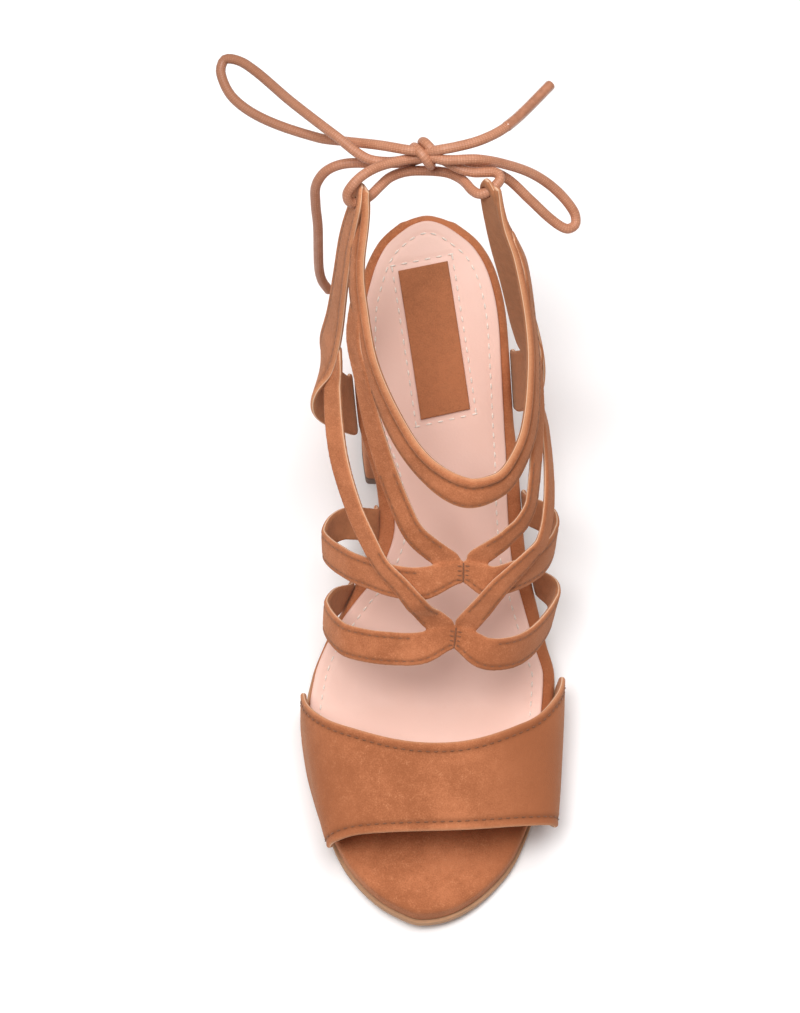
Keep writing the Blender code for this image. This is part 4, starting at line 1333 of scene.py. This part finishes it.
class SANDAL_OT_lace(bpy.types.Operator):
    """Runs the waxed lace through the tabs and ties it in a bow"""

    bl_idname = "sandal.lace"
    bl_label = "Lace"

    def winding(self):
        """The lace's turns round the knot, diving into it at both ends."""
        axis = unit(np.array(KNOT_AXIS))
        side = unit(np.cross((0.0, 0.0, 1.0), axis))
        up = np.cross(axis, side)
        points = []
        for k in range(KNOT_STEPS + 1):
            share = k / KNOT_STEPS - 0.5
            angle = 2 * math.pi * KNOT_TURNS * share + math.pi
            pull = 1 - KNOT_DIVE * max(0.0, abs(share) * 2 - 0.8) / 0.2
            out = KNOT_REACH * pull * (side * math.sin(-angle) + up * math.cos(angle))
            points.append(np.array(KNOT_MIDDLE) + axis * (KNOT_PITCH * KNOT_TURNS * share * 0.75) + out)
        return points

    def execute(self, context):
        radius = context.scene.sandal_sizes.cord / 2
        wax = look("waxed_lace")
        bars, _ = curved_tube("lace_through_tabs", LACE_ROUTE, radius, wax, 150)
        settle(bars, "waxed_lace", "lace_bars")
        knot, _ = curved_tube("bow_knot", self.winding(), radius, wax, 90)
        settle(knot, "waxed_lace", "lace_knot")

        steps = 90
        end, path = curved_tube("lace_end_lateral_cord", END_LATERAL, radius, wax, steps)
        tip = unplace(path[int(AGLET_FROM * steps) :])
        sleeve, _ = curved_tube("aglet_sleeve", tip, radius * AGLET_SWELL, look("aglet_film"), 50, 18)
        settle(sleeve, "aglet_film", "lace_aglet")
        settle(end, "waxed_lace", "lace_end_lateral")
        for name, route, node, far in (
            ("lace_loop_medial_cord", LOOP_MEDIAL, "lace_loop_medial", "object"),
            ("lace_loop_lateral_cord", LOOP_LATERAL, "lace_loop_lateral", "object"),
            ("lace_end_medial_cord", END_MEDIAL, "lace_end_medial", "bare"),
        ):
            piece, path = curved_tube(name, route, radius, wax, 130)
            settle(piece, "waxed_lace", node)
        return {"FINISHED"}


class SANDAL_OT_sole(bpy.types.Operator):
    """Builds the wrapped insole board and the outsole under it"""

    bl_idname = "sandal.sole"
    bl_label = "Sole"

    def execute(self, context):
        turns = np.linspace(0.0, 1.0, 200)
        points, faces = slab(turns, (0.0, 0.0), 0.0, BOARD, (2.0, 0.7), 26)
        board = make("wrapped_board", points, faces, look("tan_suede"), weld=True)
        settle(board, "tan_suede", "insole_board")

        turns = np.linspace(0.0, float(turn_of(BREAST - OUTSOLE_STOP)), 140)
        along = outline(turns, -1)[:, 1]
        rear = np.maximum(0.0, (along - TREAD[1]) / (BREAST - TREAD[1]))
        out = OUTSOLE_LIP - SHANK_DRAW * np.minimum(1.0, 2 * rear)
        top = BOARD + GAP
        points, faces = slab(turns, (out, out), top, top + OUTSOLE - SHANK_THINNING * rear, (0.35, 0.6), 6)
        sole = make("outsole_layer", points, faces, look("outsole_tan"), weld=True)
        settle(sole, "outsole_tan", "outsole")
        return {"FINISHED"}


class SANDAL_OT_sock(bpy.types.Operator):
    """Lays the pale sock, the bare suede patch at its heel, and their stitches"""

    bl_idname = "sandal.sock"
    bl_label = "Sock and Patch"

    def execute(self, context):
        turns = np.linspace(float(turn_of(SOCK_FRONT)), 1.0, 150)
        rims = RIM.at(100 * outline(turns, -1)[:, 1] / LENGTH)
        points, faces = slab(turns, (-rims[:, 0], -rims[:, 1]), -GAP - SOCK, -GAP, (0.7, 0.2), 78)
        sock = make("sock_layer", points, faces, look("pale_lining"), weld=True)
        settle(sock, "pale_lining", "sock")

        # the patch is a thin rectangle that follows the bed, with rounded edges
        front, rear = np.array(PATCH_ENDS)
        span = rear[1] - front[1]
        skew = (front[0] - rear[0]) / span
        half = PATCH_WIDTH / 2

        def askew(u, v):
            """Places by their distances across the patch and back from its front edge."""
            return front[0] + u - skew * v, front[1] + v + skew * u

        close_by = (0.0, 0.15, 0.4, 0.8)
        u = edge_stations(PATCH_WIDTH, close_by, 12) - half
        v = edge_stations(span, close_by, 30)
        x, y = askew(*np.meshgrid(u, v))
        middle = -2 * GAP - SOCK - PATCH / 2
        grid = bed_point(x.reshape(-1), y.reshape(-1), middle).reshape(*x.shape, 3)
        points, faces, _ = shell(grid, PATCH, rounding=0.5)
        patch = make("bare_heel_patch", points, faces, look("patch_suede"))
        settle(patch, "patch_suede", "heel_patch")

        rows = []
        for side in (-1, 1):
            t = np.linspace(float(turn_of(SOCK_SEAM_FRONT)), SOCK_SEAM_TURN, 600)
            rim = RIM.at(100 * outline(t, -1)[:, 1] / LENGTH)[:, 0 if side < 0 else 1]
            rows.append(edge(t, side, -rim - SOCK_SEAM))
        # the two sides meet round the heel
        t = np.linspace(SOCK_SEAM_TURN, 1.0, 40)
        joined = [edge(t, side, -SOCK_RIM[-1][1] - SOCK_SEAM) for side in (-1, 1)]
        rows.append(np.concatenate([joined[0], joined[1][::-1]]))
        wide = half + PATCH_SEAM
        long = span + PATCH_SEAM
        loop = [askew(*c) for c in ((-wide, -PATCH_SEAM), (wide, -PATCH_SEAM), (wide, long), (-wide, long))]
        loop.append(loop[0])
        for a, b in zip(np.array(loop), np.array(loop[1:])):
            rows.append(a + (b - a) * np.linspace(0.02, 0.98, 90)[:, None])
        skin = Skin(sock)
        up = unit(np.array([SOCK_UP]))
        for row in rows:
            spots = bed_point(row[:, 0], row[:, 1], -GAP - SOCK)
            skin.lay(spots, np.repeat(up, len(spots), axis=0))
        skin.press(SOCK_GROOVE, 0.0009)
        pitch = context.scene.sandal_sizes.sock_pitch
        skin.sew("sock_stitches", pitch, *SOCK_STITCH, look("sock_thread"), "pale_lining")
        return {"FINISHED"}


class SANDAL_OT_heel(bpy.types.Operator):
    """Builds the suede-covered block heel and its lift"""

    bl_idname = "sandal.heel"
    bl_label = "Heel"

    def plan(self):
        """The heel's plan at its seat, as a closed ring with rounded breast corners."""
        t = np.linspace(float(turn_of(BREAST)), 0.992, 60)
        ring = np.concatenate([edge(t, -1, -HEEL_INSET), edge(t, 1, -HEEL_INSET)[::-1]])
        breast = ring[-1] + (ring[0] - ring[-1]) * np.linspace(0, 1, 26)[1:-1, None]
        closed = np.concatenate([ring, breast, ring[:1]])
        reach = run_length(closed)
        s = np.linspace(0, reach[-1], HEEL_POINTS, endpoint=False)
        even = np.stack([np.interp(s, reach, closed[:, k]) for k in range(2)], axis=-1)
        # each point moves to a weighted mean of its neighbours, which rounds the two corners
        width = max(1, int(BREAST_CORNER / (reach[-1] / HEEL_POINTS)))
        kernel = np.hanning(2 * width + 3)[1:-1]
        kernel /= kernel.sum()
        return sum(share * np.roll(even, k - width, axis=0) for k, share in enumerate(kernel))

    def execute(self, context):
        ring = self.plan()
        foot = LIFT + GAP

        def level(share, z):
            """The plan at a share of the heel's span over its foot, laid at height z."""
            scale = HEEL_TAPER + (1 - HEEL_TAPER) * share
            y = BREAST + (ring[:, 1] - BREAST) * (scale - HEEL_DRAW)
            return np.stack([ring[:, 0] * scale, y, np.broadcast_to(z, len(ring))], axis=-1)

        def tucked(plan, tuck):
            """A level drawn in all round."""
            plan[:, :2] -= unit(plan[:, :2] - plan[:, :2].mean(axis=0)) * tuck
            return plan

        # the seat follows the underside of the board
        along = np.linspace(BREAST - 20, LENGTH + 20, 300)
        under = bed_point(0.0, along, BOARD + GAP)
        top = np.full(len(ring), 80.0)
        for _ in range(6):
            y = level((top - foot) / HEEL_SPAN, top)[:, 1]
            top = np.interp(y, under[:, 1], under[:, 2])
        rings = []
        for f in [0.0, 0.004, 0.01, 0.02, *np.linspace(0.04, 0.97, 40), 0.985, 0.994, 1.0]:
            z = foot + (top - foot) * f
            # the cover turns under at the foot, and pulls in a little under the board
            tuck = 0.5 * math.exp(-f / 0.006) + 0.35 * math.exp(-(1 - f) / 0.006)
            rings.append(tucked(level((z - foot) / HEEL_SPAN, z), tuck))
        block = make("heel_cover", np.concatenate(rings), ring_faces(len(rings), len(ring)), look("tan_suede"))
        settle(block, "tan_suede", "heel_block")

        rings = []
        for z, tuck in ((0.0, 0.5), (0.25, 0.12), (0.7, 0.0), (2.5, 0.0), (4.4, 0.0), (4.8, 0.1), (LIFT, 0.35)):
            rings.append(tucked(level(-0.02 + 0.02 * z / LIFT, z), tuck))
        faces = ring_faces(len(rings), len(ring))
        lift = make("heel_lift_layer", np.concatenate(rings), faces, look("lift_rubber"))
        settle(lift, "lift_rubber", "heel_lift")
        return {"FINISHED"}


class SANDAL_OT_toe_band(bpy.types.Operator):
    """Builds the wide toe band with its soft creases and two rows of stitches"""

    bl_idname = "sandal.toe_band"
    bl_label = "Toe Band"

    def inside(self, columns):
        """The inside of the band: rows from its medial foot over the toes to its lateral foot."""
        sides = np.linspace(-1, 1, 25)
        # share of the way in, height over the bed, and how far the front is cut back
        folds = [(0.0, 0.4 - BOARD, 11.0), (0.0, -0.8, 8.5), (0.35, 2.0, 5.0)]
        rows = [(-1.0, fold) for fold in folds] + [(s, None) for s in sides] + [(1.0, fold) for fold in folds[::-1]]
        close_by = (0.0, 0.12, 0.35, 0.7, 1.2, 1.8, 2.4, 2.9, 3.4, 4.0, 5.0)
        low = WIDEST * INSTEP / 100
        grid = []
        for side, fold in rows:
            front, back = BAND_EDGES.at(side)[0] * LENGTH / 100
            front += fold[2] if fold else 0.0
            along = front + edge_stations(back - front, close_by, columns)
            form = BAND_FORM.at(100 * along / LENGTH)
            medial = form[:, 0] * BALL_WIDTH / 100
            lateral = form[:, 1] * BALL_WIDTH / 100
            height = form[:, 2] * INSTEP / 100
            if fold:
                foot = edge(turn_of(along), int(side), GAP)[:, 0]
                wide = medial if side < 0 else lateral
                x = foot + (wide - foot) * fold[0]
                z = np.full(len(along), fold[1])
            else:
                angle = math.pi / 2 * side
                out = math.copysign(abs(math.sin(angle)) ** BAND_FULLNESS, side)
                x = (medial + lateral) / 2 + (lateral - medial) / 2 * out
                z = low + (height - low) * max(0.0, math.cos(angle)) ** BAND_FULLNESS
            grid.append(np.stack([x, along, bed_height(along) + z], axis=-1))
        return np.array(grid)

    def execute(self, context):
        sizes = context.scene.sandal_sizes
        rough = self.inside(24)
        at = np.linspace(0, 1, 190)
        grid = np.stack([through(rough[:, j], at) for j in range(rough.shape[1])], axis=1)
        grid = grid + grid_normals(grid) * (BAND / 2)
        s = np.linspace(-1.15, 1.15, grid.shape[0])[:, None]
        f = np.linspace(0, 1, grid.shape[1])[None, :]

        def spots(table, stretch):
            """Soft round spots on the band, stretched from front to back."""
            return sum(h * np.exp(-(((s - a) / r) ** 2) - ((f - b) / (stretch * r)) ** 2) for a, b, h, r in table)

        points, faces, values = shell(grid, BAND, spots(BAND_DENTS, 1.4), 1.1)
        # patches of painted shade and brushed nap
        shade = spots(BAND_NAP_AND_SHADE, 1.6)
        values["brush"] = np.concatenate([shade.reshape(-1), np.zeros(len(points) - shade.size)])
        skin = Skin(make("toe_band_leather", points, faces, look("strap_suede"), values))
        normal = grid_normals(grid)
        keep = slice(12, -12)
        inset = 7
        for column in (inset, grid.shape[1] - 1 - inset):
            skin.lay(grid[keep, column], normal[keep, column])
        skin.finish_strap(sizes, "toe_band", "toe_band_stitches", 0.0009, sizes.groove * 1.2, 0.0)
        return {"FINISHED"}


def remeshed(name, shells, voxel, material):
    """One leather piece from overlapping ones, smoothed where they join, with its inside and edges marked."""
    points = []
    faces = []
    for p, f, _ in shells:
        faces.append(np.asarray(f) + sum(len(q) for q in points))
        points.append(p)
    rough = make(name + "_rough", np.concatenate(points), np.concatenate(faces), material)
    cut = rough.modifiers.new("join", "REMESH")
    cut.mode = "VOXEL"
    cut.voxel_size = voxel
    ease = rough.modifiers.new("ease", "SMOOTH")
    ease.factor = 0.5
    ease.iterations = 5
    mesh = evaluated(rough)
    bpy.data.objects.remove(rough)
    mesh.name = name
    smooth(mesh)
    mesh.materials.clear()
    mesh.materials.append(material)
    facing = away_from_core(unplace(read_points(mesh, "co")))
    dot = (read_points(mesh, "normal", np.float32) * facing).sum(axis=1)
    mark(mesh, "inner", np.clip(0.5 - dot, 0, 1))
    mark(mesh, "rim", np.clip(1.2 - 1.6 * np.abs(dot), 0, 1))
    return linked(name, mesh)


class SANDAL_OT_cage(bpy.types.Operator):
    """Cuts and sews the four leaves of the strap cage, each a band and an arm"""

    bl_idname = "sandal.cage"
    bl_label = "Strap Cage"

    def execute(self, context):
        sizes = context.scene.sandal_sizes
        for level, table, feet, joint, arms in (
            ("lower", LOWER_BAND, LOWER_FEET, LOWER_JOINT, (THIRD_MEDIAL, THIRD_LATERAL)),
            ("upper", UPPER_BAND, UPPER_FEET, UPPER_JOINT, (SECOND_MEDIAL, SECOND_LATERAL)),
        ):
            medial_foot, lateral_foot = (
                sole_rows(side, station, LEAF_FOOT_WIDTH, STRAP) for side, station in zip((-1, 1), feet)
            )
            whole = Strip(medial_foot + strap_rows(table) + lateral_foot[::-1], 420)
            k = int(np.argmin(np.abs(whole.middle[:, 0] - joint * BALL_WIDTH / 100)))
            middle = whole.length[k]
            for side, half, at_start, arm_table in (
                ("medial", whole.part(0.0, middle + LEAF_LAP), False, arms[0]),
                ("lateral", whole.part(middle - LEAF_LAP, whole.length[-1]), True, arms[1]),
            ):
                half.round_end(at_start, 1.4, 0.8)
                arm = Strip(strap_rows(arm_table), 260)
                arm.round_end(True, 4.0, 0.25)
                name = level + "_leaf_" + side
                shells = [shell(half.grid(15), STRAP), shell(arm.grid(15), ARM)]
                skin = Skin(remeshed(name, shells, sizes.voxel, look("strap_suede")))
                total = half.length[-1]
                for edge_side in (-1, 1):
                    # on the side of the arm, the row along the band stops where the arm leaves it
                    clear = LEAF_SEAM_CLEAR if edge_side > 0 else ARM_SEAM_CLEAR
                    first = clear if at_start else FOOT_SEAM_CLEAR
                    last = total - (FOOT_SEAM_CLEAR if at_start else clear)
                    skin.lay(*half.offset(1.8, edge_side, first, last))
                    skin.lay(*arm.offset(1.3, edge_side, 9.0, 0.35 * arm.length[-1]))
                skin.finish_strap(sizes, "strap_cage", name + "_stitches", 0.0006, sizes.groove, sizes.groove)
            self.close(level + "_joint_threads", whole, k, sizes)
        return {"FINISHED"}

    def close(self, name, whole, k, sizes):
        """The joint line between two leaves and the threads that draw them together, at step k of their band."""
        centre, run, across, facing = (getattr(whole, key)[k] for key in ("middle", "run", "across", "facing"))
        top = centre + facing * (STRAP / 2 - 0.1)
        data = bpy.data.curves.new(name, "CURVE")
        data.dimensions = "3D"
        data.bevel_depth = sizes.stitch_width / 2
        data.bevel_resolution = 2
        data.use_fill_caps = True

        def bar(a, b):
            spline = data.splines.new("POLY")
            spline.points.add(4)
            for u, point in zip(np.linspace(0, 1, 5), spline.points):
                bow = facing * 0.2 * math.sin(math.pi * u)
                point.co = (*place(a + (b - a) * u + bow), 1.0)

        reach = 0.42 * whole.width[k]
        bar(top - across * reach, top + across * reach)
        for u in (-2.4, -0.8, 0.8, 2.4):
            for v in (-1.9, 0.7):
                bar(top + across * u + run * v, top + across * (u + 0.2) + run * (v + 1.2))
        curve = linked(name, data)
        mesh = bpy.data.meshes.new_from_object(curve)
        bpy.data.objects.remove(curve)
        mesh.materials.clear()
        mesh.materials.append(look("thread"))
        settle(linked(name, mesh), "tan_suede")


class SANDAL_OT_ankle(bpy.types.Operator):
    """Builds the ankle strap with its rolled edge, and the two quarter straps with their lace tabs"""

    bl_idname = "sandal.ankle"
    bl_label = "Ankle and Quarter Straps"

    def execute(self, context):
        sizes = context.scene.sandal_sizes
        steps = 300
        columns = 25
        strip = Strip(strap_rows(ANKLE), steps)
        top = 1.0 if strip.across[steps // 2, 2] > 0 else -1.0
        from_top = (0.5 - top * spread(columns))[None, :] * strip.width[:, None]
        roll = 0.55 * np.exp(-(((from_top - 1.6) / 1.2) ** 2))
        roll = roll - 0.3 * np.exp(-(((from_top - ROLL_SEAM) / 0.5) ** 2))
        skin = self.cut("ankle_strap_leather", strip.grid(columns), roll, sizes)
        stop = strip.length[-1] - 10.0
        skin.lay(*strip.offset(ROLL_SEAM, top, 10.0, stop))
        skin.lay(*strip.offset(1.1, -top, 10.0, stop))
        skin.finish_strap(sizes, "strap_cage", "ankle_strap_stitches", 0.0007, sizes.groove, sizes.groove)
        for name, side, table, station in (
            ("medial", -1, QUARTER_MEDIAL, QUARTER_FEET[0]),
            ("lateral", 1, QUARTER_LATERAL, QUARTER_FEET[1]),
        ):
            strip = Strip(sole_rows(side, station, QUARTER_FOOT_WIDTH, STRAP) + strap_rows(table), 220)
            strip.round_end(False, 3.5, 0.35)
            grid = strip.grid(21)
            for _ in range(QUARTER_EASE):
                grid[1:-1] = (grid[:-2] + 2 * grid[1:-1] + grid[2:]) / 4
            skin = self.cut("quarter_strap_" + name, grid, None, sizes)
            for edge_side in (-1, 1):
                skin.lay(*strip.offset(2.2, edge_side, 8.0, strip.length[-1] - 9.0))
            skin.finish_strap(sizes, "strap_cage", "quarter_stitches_" + name, 0.0006, sizes.groove, sizes.groove)
        return {"FINISHED"}

    def cut(self, name, grid, proud, sizes):
        """A strap from the grid of its middle surface, with a hole opened round the lace."""
        points, faces, values = shell(grid, STRAP, proud)
        strap = make(name, points, faces, look("strap_suede"), values)
        room = sizes.cord / 2 + HOLE_ROOM
        tool, _ = curved_tube("hole_punch", LACE_ROUTE, room, look("strap_suede"), 90, 16)
        hole = strap.modifiers.new("hole", "BOOLEAN")
        hole.operation = "DIFFERENCE"
        hole.solver = "EXACT"
        hole.object = tool
        keep_result(strap, hole)
        bpy.data.objects.remove(tool)
        return Skin(strap)


class SANDAL_PT_panel(bpy.types.Panel):
    """The sandal's pieces, sizes and colours"""

    bl_label = "Block Heel Sandal"
    bl_idname = "SANDAL_PT_panel"
    bl_space_type = "VIEW_3D"
    bl_region_type = "UI"
    bl_category = "Sandal"

    def draw(self, context):
        column = self.layout.column(align=True)
        for step in STEPS:
            column.operator(step.bl_idname)
        for group in (context.scene.sandal_sizes, context.scene.sandal_colours):
            box = self.layout.box()
            for key in group.__annotations__:
                box.prop(group, key)


STEPS = (
    SANDAL_OT_stage,
    SANDAL_OT_lace,
    SANDAL_OT_sole,
    SANDAL_OT_sock,
    SANDAL_OT_heel,
    SANDAL_OT_toe_band,
    SANDAL_OT_cage,
    SANDAL_OT_ankle,
)
CLASSES = (SandalSizes, SandalColours, *STEPS, SANDAL_PT_panel)


def register():
    for kind in CLASSES:
        bpy.utils.register_class(kind)
    bpy.types.Scene.sandal_sizes = PointerProperty(type=SandalSizes)
    bpy.types.Scene.sandal_colours = PointerProperty(type=SandalColours)


def unregister():
    del bpy.types.Scene.sandal_colours
    del bpy.types.Scene.sandal_sizes
    for kind in reversed(CLASSES):
        bpy.utils.unregister_class(kind)


def main():
    register()
    bpy.ops.sandal.stage()
    bpy.ops.sandal.lace()
    bpy.ops.sandal.sole()
    bpy.ops.sandal.sock()
    bpy.ops.sandal.heel()
    bpy.ops.sandal.toe_band()
    bpy.ops.sandal.cage()
    bpy.ops.sandal.ankle()


if __name__ == "__main__":
    main()
